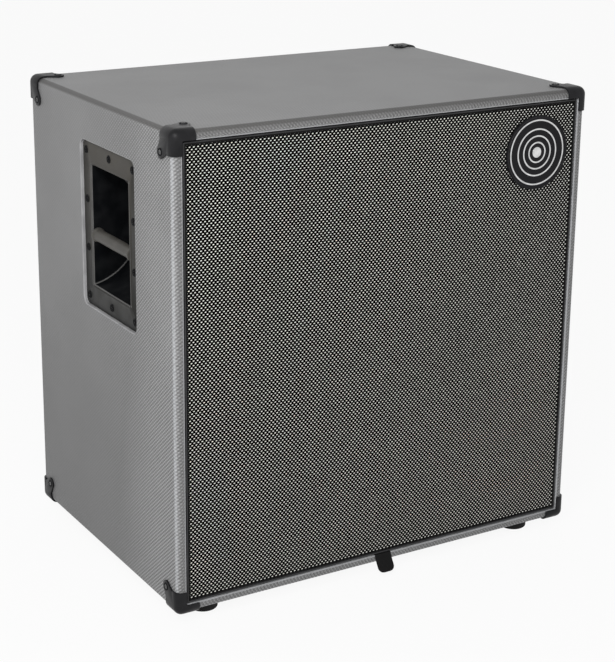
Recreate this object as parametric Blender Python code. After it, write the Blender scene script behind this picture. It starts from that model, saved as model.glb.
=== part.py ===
"""Bass speaker cabinet: four ten-inch drivers and a horn behind a pull-off cloth grille.

Blender 4.5 script, in metres, +Z up. The front faces -Y, and the origin is the middle of the
footprint at floor level. Left and right are those of someone who looks at the front.
"""

from math import acos, cos, degrees, hypot, pi, radians, sin, sqrt

import bmesh
import bpy
from mathutils import Matrix, Vector

# Clearance between pieces that touch or are glued
SEAT = 0.0003

# Cabinet shell
CABINET_WIDTH = 0.600
CABINET_DEPTH = 0.421
CABINET_HEIGHT = 0.604
EDGE_RADIUS = 0.008
VINYL_THICKNESS = 0.0010
PANEL_THICKNESS = 0.015
RIM_WIDTH = 0.0115
BAFFLE_SETBACK = 0.026
BAFFLE_THICKNESS = 0.018
BACK_PANEL_SETBACK = 0.008
BACK_PANEL_THICKNESS = 0.012
BRACE_SETBACK = 0.290
BRACE_THICKNESS = 0.012
BRACE_BAR_WIDTH = 0.060
BRACE_WINDOW_RADIUS = 0.030
LINING_THICKNESS = 0.022
LINING_MARGIN = 0.006

# Feet
FOOT_HEIGHT = 0.018
FOOT_RADIUS = 0.020
FOOT_TAPER = 0.002
FOOT_SCREW_RADIUS = 0.006
FOOT_SCREW_DEPTH = 0.009
FOOT_INSET_X = 0.055
FOOT_INSET_Y = 0.040

# Corner protectors
CORNER_WALL = 0.0022
CORNER_REACH = 0.029
CORNER_WAIST = 0.0255
CORNER_WAIST_AT = 0.009
EAR_OFFSET = 0.028
EAR_RADIUS = 0.008
EAR_OPENING_ANGLE = 40

# Bar handles in the two sides
HANDLE_FROM_FRONT = 0.183
HANDLE_FROM_TOP = 0.1635
HANDLE_FRAME_LENGTH = 0.156
HANDLE_FRAME_HEIGHT = 0.216
HANDLE_FRAME_RADIUS = 0.0095
HANDLE_FRAME_THICKNESS = 0.003
HANDLE_REBATE = 0.0037
HANDLE_REBATE_MARGIN = 0.001
SCOOP_LENGTH = 0.108
SCOOP_RADIUS = 0.080
SCOOP_AXIS_OUTSIDE = 0.009
SCOOP_WALL = 0.0025
BAR_RADIUS = 0.00875
BAR_DEPTH = 0.0105
BAR_DROP = 0.0135
BAR_SPIGOT_RADIUS = 0.004

# Woofers, with depths measured back from the baffle's front face
WOOFER_GAP = 0.017
WOOFER_FROM_CLEAT = 0.011
FLANGE_WIDTH = 0.013
FLANGE_PROUD = 0.006
FLANGE_STEP_WIDTH = 0.0095
FLANGE_STEP_PROUD = 0.003
BASKET_WALL = 0.004
BASKET_STRAIGHT = 0.014
BASKET_DEPTH = 0.082
BASKET_FLOOR = 0.0035
BASKET_REAR_RADIUS = 0.066
BASKET_REAR_HEIGHT = 0.020
BASKET_WELL_RADIUS = 0.052
BASKET_FLOOR_HOLE = 0.030
SPOKE_COUNT = 6
SPOKE_ANGLE = 20
WINDOW_FROM = 0.018
WINDOW_TO = 0.053
COIL_RADIUS = 0.0250
COIL_WALL = 0.0014
COIL_OVERLAP = 0.011
COIL_RUNNING_GAP = 0.0007
PLATE_RADIUS = 0.062
PLATE_THICKNESS = 0.008
MAGNET_RADIUS = 0.070
MAGNET_THICKNESS = 0.020
POLE_VENT_RADIUS = 0.009
CONE_EDGE_INSET = 0.0165
CONE_EDGE_WIDTH = 0.007
CONE_EDGE_DEPTH = 0.006
CONE_NECK_DEPTH = 0.046
CONE_THICKNESS = 0.0013
CONE_FLARE = 0.003
DUST_CAP_RADIUS = 0.038
DUST_CAP_RISE = 0.012
SURROUND_THICKNESS = 0.0011
SURROUND_FOLD_COUNT = 3
SURROUND_FOLD_HEIGHT = 0.0022
SPIDER_THICKNESS = 0.0010
SPIDER_FOLD_COUNT = 2
SPIDER_FOLD_HEIGHT = 0.0012
SPIDER_CUP = 0.006
SPIDER_LIP = 0.006
LEDGE_RISE = 0.002
LEDGE_INSET = 0.003

# Horn and its driver, with depths measured back from the baffle's front face
HORN_CLEARANCE = 0.0032
HORN_FLANGE_WIDTH = 0.012
HORN_FLANGE_THICKNESS = 0.004
HORN_THROAT_RADIUS = 0.0125
HORN_DEPTH = 0.050
HORN_STATIONS = (0.15, 0.4, 0.7)
HORN_WALL = 0.003
HORN_REAR_FLANGE_RADIUS = 0.030
HORN_REAR_FLANGE_THICKNESS = 0.005
TWEETER_RADIUS = 0.043
TWEETER_LENGTH = 0.042
TWEETER_CAP_RADIUS = 0.034
TWEETER_CAP_LENGTH = 0.012

# Port tubes
PORT_CLEARANCE = 0.0013
PORT_BORE_RADIUS = 0.0285
PORT_WALL = 0.0025
PORT_FLANGE_WIDTH = 0.002
PORT_FLANGE_THICKNESS = 0.003
PORT_FLARE = 0.004
PORT_LENGTH = 0.110

# Grille, with depths measured back from the cabinet's front face
GRILLE_CLEARANCE = 0.0018
GRILLE_FRAME_WIDTH = 0.022
GRILLE_FRAME_THICKNESS = 0.012
GRILLE_FRONT_SETBACK = 0.0005
GRILLE_BORDER_WIDTH = 0.0040
CLOTH_SETBACK = 0.0010
CLOTH_THICKNESS = 0.0008
CLEAT_WIDTH = 0.012
BADGE_RADIUS = 0.0485
BADGE_RIM_WIDTH = 0.003
BADGE_THICKNESS = 0.0033
BADGE_FACE_DROP = 0.0008
BADGE_BOSS_RADIUS = 0.012
BADGE_FROM_SIDE = 0.0775
BADGE_FROM_TOP = 0.077
TAB_WIDTH = 0.0245
TAB_THICKNESS = 0.0010
TAB_HIDDEN_LENGTH = 0.011
TAB_BELOW_CABINET = 0.012
TAB_FLARE = 0.0045
TAB_BEND_RADIUS = 0.0015
TAB_END_SHARE = 0.45

# Rear input dish, with depths measured out from the dish's floor
DISH_HEIGHT_FROM_BASE = 0.200
DISH_FLANGE_WIDTH = 0.150
DISH_FLANGE_HEIGHT = 0.100
DISH_FLANGE_THICKNESS = 0.002
DISH_FLANGE_RADIUS = 0.006
DISH_WIDTH = 0.124
DISH_HEIGHT = 0.072
DISH_DEPTH = 0.024
DISH_WALL = 0.002
SOCKET_OFFSET = 0.042
SOCKET_FLANGE_RADIUS = 0.0155
SOCKET_FLANGE_THICKNESS = 0.0017
SOCKET_RADIUS = 0.0125
SOCKET_WELL_RADIUS = 0.0108
SOCKET_WELL_DEPTH = 0.016
SOCKET_POST_RADIUS = 0.0042
SOCKET_LENGTH = 0.020
CONTROL_BODY_RADIUS = 0.0085
CONTROL_BODY_LENGTH = 0.010
CONTROL_BUSHING_RADIUS = 0.0045
CONTROL_BUSHING_LENGTH = 0.004
CONTROL_SHAFT_RADIUS = 0.0030
CONTROL_SHAFT_LENGTH = 0.012
KNOB_RADIUS = 0.009
KNOB_LENGTH = 0.012
KNOB_CHAMFER = 0.001
KNOB_POINTER_WIDTH = 0.002
KNOB_POINTER_PROUD = 0.0015

# Crossover board
BOARD_LENGTH = 0.120
BOARD_WIDTH = 0.080
BOARD_THICKNESS = 0.0016
BOARD_STANDOFF = 0.006
BOARD_SETBACK = 0.180
BOARD_OFFSET = 0.120
STANDOFF_RADIUS = 0.004
STANDOFF_INSET = 0.008
INDUCTOR_RADIUS = 0.018
INDUCTOR_HEIGHT = 0.016
CAPACITOR_RADIUS = 0.011
CAPACITOR_HEIGHT = 0.028

# Facets
ROUND_STEPS = 24
WOOFER_STEPS = 16
MOTOR_STEPS = 16
PORT_STEPS = 16
SMALL_ROUND_STEPS = 12
BOARD_PART_STEPS = 8
SPIDER_STEPS = 12
WINDOW_STEPS = 2
SCOOP_STEPS = 12
EAR_STEPS = 3
TAB_STEPS = 6
EDGE_STEPS = 3

# Placement. The footprint is centred between the pull tab's tip and the rear corners.
CORNER_PROUD = SEAT + CORNER_WALL
TAB_PROUD = SEAT + TAB_THICKNESS + TAB_FLARE
FRONT_Y = (TAB_PROUD - CORNER_PROUD - CABINET_DEPTH) / 2
BACK_Y = FRONT_Y + CABINET_DEPTH
BASE_Z = FOOT_HEIGHT
TOP_Z = BASE_Z + CABINET_HEIGHT
MIDDLE_Z = BASE_Z + CABINET_HEIGHT / 2
SIDE_X = CABINET_WIDTH / 2
OPENING_X = SIDE_X - RIM_WIDTH
OPENING_Z = CABINET_HEIGHT / 2 - RIM_WIDTH
INNER_X = SIDE_X - PANEL_THICKNESS
INNER_Z = CABINET_HEIGHT / 2 - PANEL_THICKNESS
BAFFLE_Y = FRONT_Y + BAFFLE_SETBACK
BAFFLE_BACK_Y = BAFFLE_Y + BAFFLE_THICKNESS
BACK_PANEL_Y = BACK_Y - BACK_PANEL_SETBACK
BACK_PANEL_INNER_Y = BACK_PANEL_Y - BACK_PANEL_THICKNESS
DISH_Z = BASE_Z + DISH_HEIGHT_FROM_BASE
DISH_RIM_Y = BACK_PANEL_Y + SEAT + DISH_FLANGE_THICKNESS
DISH_FLOOR_Y = DISH_RIM_Y - DISH_DEPTH
HANDLE_Y = FRONT_Y + HANDLE_FROM_FRONT
HANDLE_Z = TOP_Z - HANDLE_FROM_TOP

# The drivers are as large as fit in two rows between the battens, with the horn between all
# four, and each port lies as near to the middle as its two neighbours let it.
BAFFLE_REACH = min(OPENING_X, OPENING_Z) - CLEAT_WIDTH
FLANGE_RADIUS = (BAFFLE_REACH - WOOFER_FROM_CLEAT - WOOFER_GAP / 2) / 2
FLANGE_STEP_RADIUS = FLANGE_RADIUS - FLANGE_STEP_WIDTH
BASKET_RADIUS = FLANGE_RADIUS - FLANGE_WIDTH
CONE_EDGE_RADIUS = BASKET_RADIUS - CONE_EDGE_INSET
WOOFER_OFFSET = FLANGE_RADIUS + WOOFER_GAP / 2
HORN_FLANGE_RADIUS = WOOFER_OFFSET * sqrt(2) - FLANGE_RADIUS - HORN_CLEARANCE
HORN_MOUTH_RADIUS = HORN_FLANGE_RADIUS - HORN_FLANGE_WIDTH
PORT_FLANGE_RADIUS = PORT_BORE_RADIUS + PORT_WALL + PORT_FLANGE_WIDTH
PORT_TO_WOOFER = PORT_FLANGE_RADIUS + PORT_CLEARANCE + FLANGE_RADIUS
PORT_OFFSET = WOOFER_OFFSET + sqrt(PORT_TO_WOOFER**2 - WOOFER_OFFSET**2)
LEDGE_DEPTH = BASKET_DEPTH - BASKET_REAR_HEIGHT - LEDGE_RISE
LEDGE_RADIUS = BASKET_REAR_RADIUS - LEDGE_INSET

WOOFER_CENTRES = {
    "upper_left": (-WOOFER_OFFSET, MIDDLE_Z + WOOFER_OFFSET),
    "upper_right": (WOOFER_OFFSET, MIDDLE_Z + WOOFER_OFFSET),
    "lower_left": (-WOOFER_OFFSET, MIDDLE_Z - WOOFER_OFFSET),
    "lower_right": (WOOFER_OFFSET, MIDDLE_Z - WOOFER_OFFSET),
}
SIDES = {"left": -1, "right": 1}


# Scene and materials


def clear_scene():
    """Empties the scene, so that the script can run again in an open file."""
    for obj in list(bpy.data.objects):
        bpy.data.objects.remove(obj, do_unlink=True)


def material(name, colour, roughness, metallic=0.0):
    """A plain Principled material."""
    made = bpy.data.materials.new(name)
    made.use_nodes = True
    shader = made.node_tree.nodes["Principled BSDF"]
    shader.inputs["Base Color"].default_value = (*colour, 1.0)
    shader.inputs["Roughness"].default_value = roughness
    shader.inputs["Metallic"].default_value = metallic
    return made


def make_materials():
    """The materials by the name that the pieces use."""
    return {
        "vinyl": material("grey_vinyl", (0.235, 0.24, 0.245), 0.55),
        "plywood": material("plywood", (0.45, 0.33, 0.20), 0.7),
        "black_wood": material("black_painted_wood", (0.02, 0.02, 0.02), 0.75),
        "black_plastic": material("black_plastic", (0.03, 0.03, 0.032), 0.45),
        "grip": material("grip_plastic", (0.12, 0.12, 0.115), 0.5),
        "rubber": material("rubber", (0.015, 0.015, 0.015), 0.8),
        "basket": material("painted_steel", (0.03, 0.03, 0.03), 0.4, 0.3),
        "magnet": material("ferrite", (0.06, 0.06, 0.065), 0.5, 0.4),
        "paper": material("cone_paper", (0.025, 0.024, 0.023), 0.85),
        "surround": material("surround_cloth", (0.02, 0.02, 0.02), 0.9),
        "spider": material("spider_cloth", (0.45, 0.28, 0.10), 0.9),
        "cloth": material("grille_cloth", (0.16, 0.16, 0.16), 0.8),
        "webbing": material("webbing", (0.015, 0.015, 0.015), 0.85),
        "badge": material("badge_plastic", (0.02, 0.02, 0.02), 0.35),
        "steel": material("panel_steel", (0.04, 0.04, 0.042), 0.4, 0.5),
        "board": material("circuit_board", (0.03, 0.16, 0.06), 0.5),
        "batting": material("polyester_batting", (0.6, 0.6, 0.58), 0.95),
    }


# Shapes. Each of these returns an object that has no material yet.


def finish_mesh(mesh_bm, name):
    """Closes a bmesh into a linked object whose faces point out."""
    bmesh.ops.recalc_face_normals(mesh_bm, faces=mesh_bm.faces)
    mesh = bpy.data.meshes.new(name)
    mesh_bm.to_mesh(mesh)
    mesh_bm.free()
    obj = bpy.data.objects.new(name, mesh)
    bpy.context.scene.collection.objects.link(obj)
    return obj


def block(low, high, name="block"):
    """A box between two opposite corners."""
    mesh_bm = bmesh.new()
    bmesh.ops.create_cube(mesh_bm, size=1.0)
    low, high = Vector(low), Vector(high)
    bmesh.ops.scale(mesh_bm, vec=high - low, verts=mesh_bm.verts)
    bmesh.ops.translate(mesh_bm, vec=(low + high) / 2, verts=mesh_bm.verts)
    return finish_mesh(mesh_bm, name)


def rounded_block(low, high, radius, name="rounded_block"):
    """A box whose edges and corners are all rounded alike."""
    mesh_bm = bmesh.new()
    bmesh.ops.create_cube(mesh_bm, size=1.0)
    low, high = Vector(low), Vector(high)
    bmesh.ops.scale(mesh_bm, vec=high - low, verts=mesh_bm.verts)
    bmesh.ops.translate(mesh_bm, vec=(low + high) / 2, verts=mesh_bm.verts)
    bmesh.ops.bevel(
        mesh_bm,
        geom=mesh_bm.edges[:],
        offset=radius,
        segments=EDGE_STEPS,
        profile=0.5,
        affect="EDGES",
    )
    return finish_mesh(mesh_bm, name)


def along_axis(axis, first, second, height):
    """A 3-D point from two coordinates across an axis and one along it."""
    return {
        "X": Vector((height, first, second)),
        "Y": Vector((first, height, second)),
        "Z": Vector((first, second, height)),
    }[axis]


def prism(outline, axis, low, high, name="prism"):
    """An outline of points across an axis, drawn out from low to high along it."""
    mesh_bm = bmesh.new()
    bottom = [mesh_bm.verts.new(along_axis(axis, a, b, low)) for a, b in outline]
    top = [mesh_bm.verts.new(along_axis(axis, a, b, high)) for a, b in outline]
    mesh_bm.faces.new(bottom)
    mesh_bm.faces.new(reversed(top))
    for i in range(len(outline)):
        j = (i + 1) % len(outline)
        mesh_bm.faces.new((bottom[i], top[i], top[j], bottom[j]))
    return finish_mesh(mesh_bm, name)


def arc(centre, radius, start, end, steps):
    """Points on an arc, with the angles in degrees."""
    angles = [radians(start + (end - start) * i / steps) for i in range(steps + 1)]
    return [(centre[0] + radius * cos(a), centre[1] + radius * sin(a)) for a in angles]


def rounded_rectangle(centre, width, height, radius):
    """The outline of a rectangle with round corners."""
    across = width / 2 - radius
    up = height / 2 - radius
    corners = ((across, up, 0), (-across, up, 90), (-across, -up, 180), (across, -up, 270))
    outline = []
    for dx, dz, start in corners:
        middle = (centre[0] + dx, centre[1] + dz)
        outline += arc(middle, radius, start, start + 90, EDGE_STEPS)
    return outline


def circle(centre, radius, steps=ROUND_STEPS):
    """The outline of a circle."""
    return arc(centre, radius, 0, 360, steps)[:-1]


def bridge(mesh_bm, first, second):
    """Joins two rings of vertices. A ring of one vertex is an apex on the axis."""
    count = max(len(first), len(second))
    for i in range(count):
        j = (i + 1) % count
        if len(first) == 1:
            mesh_bm.faces.new((first[0], second[i], second[j]))
        elif len(second) == 1:
            mesh_bm.faces.new((first[i], second[0], first[j]))
        else:
            mesh_bm.faces.new((first[i], second[i], second[j], first[j]))


def turned(profile, axis, steps=ROUND_STEPS, name="turned"):
    """A profile of (radius, height) points turned about an axis through the origin.

    A profile that starts and ends at radius 0 has its ends on the axis. Any other is a loop.
    """
    mesh_bm = bmesh.new()
    rings = []
    for radius, height in profile:
        if radius == 0:
            points = [(0.0, 0.0)]
        else:
            points = circle((0.0, 0.0), radius, steps)
        ring = [mesh_bm.verts.new(along_axis(axis, a, b, height)) for a, b in points]
        rings.append(ring)
    for first, second in zip(rings, rings[1:]):
        bridge(mesh_bm, first, second)
    if profile[0][0] != 0:
        bridge(mesh_bm, rings[-1], rings[0])
    return finish_mesh(mesh_bm, name)


def framed(section, half_width, half_height, name="framed"):
    """A section of (inset, y) points swept round a rectangle in the XZ plane, with mitres."""
    mesh_bm = bmesh.new()
    rings = []
    for inset, y in section:
        dx = half_width - inset
        dz = half_height - inset
        corners = ((-dx, -dz), (dx, -dz), (dx, dz), (-dx, dz))
        rings.append([mesh_bm.verts.new((x, y, MIDDLE_Z + z)) for x, z in corners])
    for first, second in zip(rings, rings[1:] + rings[:1]):
        bridge(mesh_bm, first, second)
    return finish_mesh(mesh_bm, name)


# Boolean steps. Each uses its tool up.


def combine(body, tool, operation):
    """Applies one exact Boolean to the body and removes the tool."""
    modifier = body.modifiers.new(operation.lower(), "BOOLEAN")
    modifier.operation = operation
    modifier.solver = "EXACT"
    modifier.object = tool
    graph = bpy.context.evaluated_depsgraph_get()
    result = bpy.data.meshes.new_from_object(body.evaluated_get(graph))
    result.name = body.name
    body.modifiers.clear()
    body.data = result
    bpy.data.objects.remove(tool, do_unlink=True)
    return body


def cut(body, *tools):
    for tool in tools:
        combine(body, tool, "DIFFERENCE")
    return body


def join(body, *tools):
    for tool in tools:
        combine(body, tool, "UNION")
    return body


def common(body, tool):
    return combine(body, tool, "INTERSECT")


def piece(obj, name, mat, location=(0, 0, 0), parent=None, smooth_angle=35):
    """Names a finished shape, gives it its material and puts it in its place."""
    obj.name = name
    obj.data.name = name
    obj.data.materials.clear()
    obj.data.materials.append(mat)
    obj.data.shade_smooth()
    obj.data.set_sharp_from_angle(angle=radians(smooth_angle))
    obj.location = location
    if parent is not None:
        obj.parent = parent
        obj.location = Vector(location) - parent.location
    return obj


def copy_of(obj, name, location):
    """Another object that shares the mesh of the first."""
    made = bpy.data.objects.new(name, obj.data)
    bpy.context.scene.collection.objects.link(made)
    made.location = location
    return made


# Cabinet shell


def cabinet_block(inset, name="cabinet_block"):
    """The cabinet's rounded outline, shrunk by an inset. A negative one grows it."""
    low = (-SIDE_X + inset, FRONT_Y + inset, BASE_Z + inset)
    high = (SIDE_X - inset, BACK_Y - inset, TOP_Z - inset)
    return rounded_block(low, high, EDGE_RADIUS - inset, name)


def opening_block(low_y, high_y):
    """The rectangle inside the cabinet's rim, from one depth to another."""
    low = (-OPENING_X, low_y, MIDDLE_Z - OPENING_Z)
    return block(low, (OPENING_X, high_y, MIDDLE_Z + OPENING_Z))


def make_vinyl(mats):
    """The covering: a thin skin round the four panels and over the front and rear rims."""
    skin = cabinet_block(0.0)
    cut(skin, cabinet_block(VINYL_THICKNESS))
    cut(skin, opening_block(FRONT_Y - RIM_WIDTH, BACK_Y + RIM_WIDTH))
    outline = handle_outline(HANDLE_REBATE_MARGIN)
    cut(skin, prism(outline, "X", -CABINET_WIDTH, CABINET_WIDTH))
    piece(skin, "vinyl_covering", mats["vinyl"])


def scoop_outline(side, radius, outermost):
    """The handle's round scoop, seen along its axis, cut off flat at the outermost depth."""
    half_angle = degrees(acos((outermost + SCOOP_AXIS_OUTSIDE) / radius))
    curve = arc((-SCOOP_AXIS_OUTSIDE, HANDLE_Z), radius, -half_angle, half_angle, SCOOP_STEPS)
    return [(side * (SIDE_X - inward), z) for inward, z in curve]


def side_span(side, first_depth, second_depth):
    """The X values of two depths below a side face, the lower one first."""
    return sorted((side * (SIDE_X - first_depth), side * (SIDE_X - second_depth)))


def make_side_panel(mats, side_name, side):
    """A full-height side, with the rebate and the hole that its handle drops into."""
    inset = VINYL_THICKNESS + SEAT
    low_x, high_x = side_span(side, inset, PANEL_THICKNESS)
    panel = block((low_x, FRONT_Y, BASE_Z), (high_x, BACK_Y, TOP_Z))
    common(panel, cabinet_block(inset))
    cut(panel, *front_and_back_rebates())
    outline = handle_outline(HANDLE_REBATE_MARGIN)
    seat_depth = HANDLE_REBATE + HANDLE_FRAME_THICKNESS + SEAT
    cut(panel, prism(outline, "X", *side_span(side, -PANEL_THICKNESS, seat_depth)))
    scoop = scoop_outline(side, SCOOP_RADIUS + SCOOP_WALL + 2 * SEAT, 0.0)
    half_length = SCOOP_LENGTH / 2 + SCOOP_WALL + 2 * SEAT
    cut(panel, prism(scoop, "Y", HANDLE_Y - half_length, HANDLE_Y + half_length))
    piece(panel, side_name + "_side_panel", mats["plywood"])


def make_level_panel(mats, name, low_z, high_z):
    """The top or the bottom, let in between the two sides."""
    half_width = SIDE_X - PANEL_THICKNESS - SEAT
    panel = block((-half_width, FRONT_Y, low_z), (half_width, BACK_Y, high_z))
    common(panel, cabinet_block(VINYL_THICKNESS + SEAT))
    cut(panel, *front_and_back_rebates())
    piece(panel, name, mats["plywood"])


def front_and_back_rebates():
    """Two tools that open the panels for the grille and baffle, and for the back panel."""
    front = opening_block(FRONT_Y - RIM_WIDTH, BAFFLE_BACK_Y + SEAT)
    back = opening_block(BACK_PANEL_INNER_Y - SEAT, BACK_Y + RIM_WIDTH)
    return front, back


def round_hole(x, z, radius, low_y, high_y, steps=WOOFER_STEPS):
    """A tool for a hole along Y."""
    return prism(circle((x, z), radius, steps), "Y", low_y, high_y)


def make_baffle(mats):
    """The board that carries the drivers, the horn and the ports."""
    reach_x = OPENING_X - SEAT
    reach_z = OPENING_Z - SEAT
    low = (-reach_x, BAFFLE_Y, MIDDLE_Z - reach_z)
    board = block(low, (reach_x, BAFFLE_BACK_Y, MIDDLE_Z + reach_z))
    span = (BAFFLE_Y - BAFFLE_THICKNESS, BAFFLE_BACK_Y + BAFFLE_THICKNESS)
    for x, z in WOOFER_CENTRES.values():
        cut(board, round_hole(x, z, BASKET_RADIUS + 2 * SEAT, *span))
    horn_hole = HORN_MOUTH_RADIUS + HORN_WALL + 2 * SEAT
    cut(board, round_hole(0.0, MIDDLE_Z, horn_hole, *span))
    port_hole = PORT_BORE_RADIUS + PORT_WALL + SEAT
    for side in SIDES.values():
        cut(board, round_hole(side * PORT_OFFSET, MIDDLE_Z, port_hole, *span, PORT_STEPS))
    piece(board, "baffle", mats["black_wood"])


def make_back_panel(mats):
    """The back board, let into its rebate, with the opening for the input dish."""
    reach_x = OPENING_X - SEAT
    reach_z = OPENING_Z - SEAT
    low = (-reach_x, BACK_PANEL_INNER_Y, MIDDLE_Z - reach_z)
    board = block(low, (reach_x, BACK_PANEL_Y, MIDDLE_Z + reach_z))
    cut(board, dish_block(SEAT, BACK_PANEL_INNER_Y - DISH_DEPTH))
    piece(board, "back_panel", mats["vinyl"])


def make_brace(mats):
    """A frame with four windows that ties the four panels together behind the handles."""
    reach_x = INNER_X - SEAT
    reach_z = INNER_Z - SEAT
    low_y = FRONT_Y + BRACE_SETBACK
    high_y = low_y + BRACE_THICKNESS
    brace = block((-reach_x, low_y, MIDDLE_Z - reach_z), (reach_x, high_y, MIDDLE_Z + reach_z))
    half_bar = BRACE_BAR_WIDTH / 2
    width = reach_x - BRACE_BAR_WIDTH - half_bar
    height = reach_z - BRACE_BAR_WIDTH - half_bar
    across = half_bar + width / 2
    up = half_bar + height / 2
    for dx, dz in ((-across, -up), (across, -up), (-across, up), (across, up)):
        centre = (dx, MIDDLE_Z + dz)
        outline = rounded_rectangle(centre, width, height, BRACE_WINDOW_RADIUS)
        span = (low_y - BRACE_THICKNESS, high_y + BRACE_THICKNESS)
        cut(brace, prism(outline, "Y", *span))
    piece(brace, "window_brace", mats["plywood"])


def make_lining(mats):
    """The batt of polyester wadding on the inside of the back panel."""
    reach_x = INNER_X - LINING_MARGIN
    reach_z = INNER_Z - LINING_MARGIN
    high_y = BACK_PANEL_INNER_Y - SEAT
    low_y = high_y - LINING_THICKNESS
    batt = block((-reach_x, low_y, MIDDLE_Z - reach_z), (reach_x, high_y, MIDDLE_Z + reach_z))
    cut(batt, dish_block(LINING_MARGIN, low_y - LINING_MARGIN))
    piece(batt, "lining_pad", mats["batting"])


# Corner protectors and feet


def corner_face_outline():
    """One face of a corner protector, measured in from the two edges, with its screw ear."""
    overlap = 2 * CORNER_PROUD
    ear = arc(
        (EAR_OFFSET, EAR_OFFSET), EAR_RADIUS, -EAR_OPENING_ANGLE, 90 + EAR_OPENING_ANGLE, EAR_STEPS
    )
    outline = [(-overlap, -overlap), (CORNER_REACH, -overlap), (CORNER_REACH, 0.0)]
    outline += [(CORNER_WAIST, CORNER_WAIST_AT)] + ear + [(CORNER_WAIST_AT, CORNER_WAIST)]
    outline += [(0.0, CORNER_REACH), (-overlap, CORNER_REACH)]
    return outline


def corner_rim_outline():
    """The face towards the grille: two narrow arms on the rim, with a notch between them."""
    overlap = 2 * CORNER_PROUD
    return [
        (-overlap, -overlap),
        (CORNER_REACH, -overlap),
        (CORNER_REACH, RIM_WIDTH),
        (RIM_WIDTH, RIM_WIDTH),
        (RIM_WIDTH, CORNER_REACH),
        (-overlap, CORNER_REACH),
    ]


def make_corners(mats):
    """Eight protectors, each the mirror image of its neighbours."""
    far = 2 * CORNER_REACH
    outer = rounded_block([-CORNER_PROUD] * 3, [far] * 3, EDGE_RADIUS + CORNER_PROUD)
    shell = cut(outer, rounded_block([-SEAT] * 3, [2 * far] * 3, EDGE_RADIUS + SEAT))
    span = (-2 * CORNER_PROUD, RIM_WIDTH)
    faces = prism(corner_face_outline(), "X", *span)
    join(faces, prism(corner_rim_outline(), "Y", *span))
    join(faces, prism(corner_face_outline(), "Z", *span))
    common(shell, faces)
    for depth_name, front_sign, y in (("front", 1, FRONT_Y), ("back", -1, BACK_Y)):
        for level_name, up_sign, z in (("bottom", 1, BASE_Z), ("top", -1, TOP_Z)):
            for side_name, side in SIDES.items():
                mesh = shell.data.copy()
                signs = (-side, front_sign, up_sign)
                mesh.transform(Matrix.Diagonal((*signs, 1)))
                if signs[0] * signs[1] * signs[2] < 0:
                    mesh.flip_normals()
                corner = bpy.data.objects.new("corner", mesh)
                bpy.context.scene.collection.objects.link(corner)
                name = "_".join(("corner", depth_name, level_name, side_name))
                piece(corner, name, mats["black_plastic"], (side * SIDE_X, y, z))
    bpy.data.objects.remove(shell, do_unlink=True)


def make_feet(mats):
    """Four turned rubber feet, each with a recess for its screw."""
    top = FOOT_HEIGHT - SEAT
    profile = [
        (0.0, top),
        (FOOT_RADIUS, top),
        (FOOT_RADIUS, FOOT_TAPER),
        (FOOT_RADIUS - FOOT_TAPER, 0.0),
        (FOOT_SCREW_RADIUS, 0.0),
        (FOOT_SCREW_RADIUS, FOOT_SCREW_DEPTH),
        (0.0, FOOT_SCREW_DEPTH),
    ]
    foot = None
    for depth_name, y in (("front", FRONT_Y + FOOT_INSET_Y), ("back", BACK_Y - FOOT_INSET_Y)):
        for side_name, side in SIDES.items():
            name = "_".join(("foot", depth_name, side_name))
            place = (side * (SIDE_X - FOOT_INSET_X), y, 0.0)
            if foot is None:
                foot = turned(profile, "Z", SMALL_ROUND_STEPS)
                piece(foot, name, mats["rubber"], place)
            else:
                copy_of(foot, name, place)


# Handles


def handle_outline(margin):
    """The handle frame's outline, seen from the side, grown by a margin."""
    length = HANDLE_FRAME_LENGTH + 2 * margin
    height = HANDLE_FRAME_HEIGHT + 2 * margin
    radius = HANDLE_FRAME_RADIUS + margin
    return rounded_rectangle((HANDLE_Y, HANDLE_Z), length, height, radius)


def make_handle(mats, side_name, side):
    """A moulded cup with a round scoop, and the bar fixed across it."""
    frame_back = HANDLE_REBATE + HANDLE_FRAME_THICKNESS
    cup = prism(handle_outline(0.0), "X", *side_span(side, HANDLE_REBATE, frame_back))
    half_length = SCOOP_LENGTH / 2
    half_outside = half_length + SCOOP_WALL
    middle_of_frame = HANDLE_REBATE + HANDLE_FRAME_THICKNESS / 2
    outside = scoop_outline(side, SCOOP_RADIUS + SCOOP_WALL, middle_of_frame)
    join(cup, prism(outside, "Y", HANDLE_Y - half_outside, HANDLE_Y + half_outside))
    inside = scoop_outline(side, SCOOP_RADIUS, 0.0)
    cut(cup, prism(inside, "Y", HANDLE_Y - half_length, HANDLE_Y + half_length))
    bar_x = side * (SIDE_X - BAR_DEPTH)
    bar_z = HANDLE_Z - BAR_DROP
    hole = (bar_x, bar_z, BAR_SPIGOT_RADIUS + SEAT)
    span = (HANDLE_Y - 2 * half_outside, HANDLE_Y + 2 * half_outside)
    cut(cup, round_hole(*hole, *span, SMALL_ROUND_STEPS))
    piece(cup, side_name + "_handle_cup", mats["black_plastic"])
    shoulder = half_length - SEAT
    profile = [
        (0.0, -half_outside),
        (BAR_SPIGOT_RADIUS, -half_outside),
        (BAR_SPIGOT_RADIUS, -shoulder),
        (BAR_RADIUS, -shoulder),
        (BAR_RADIUS, shoulder),
        (BAR_SPIGOT_RADIUS, shoulder),
        (BAR_SPIGOT_RADIUS, half_outside),
        (0.0, half_outside),
    ]
    bar = turned(profile, "Y", SMALL_ROUND_STEPS)
    piece(bar, side_name + "_handle_bar", mats["grip"], (bar_x, HANDLE_Y, bar_z))


# Woofers. The axis is Y, and height 0 is the baffle's front face.


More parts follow.
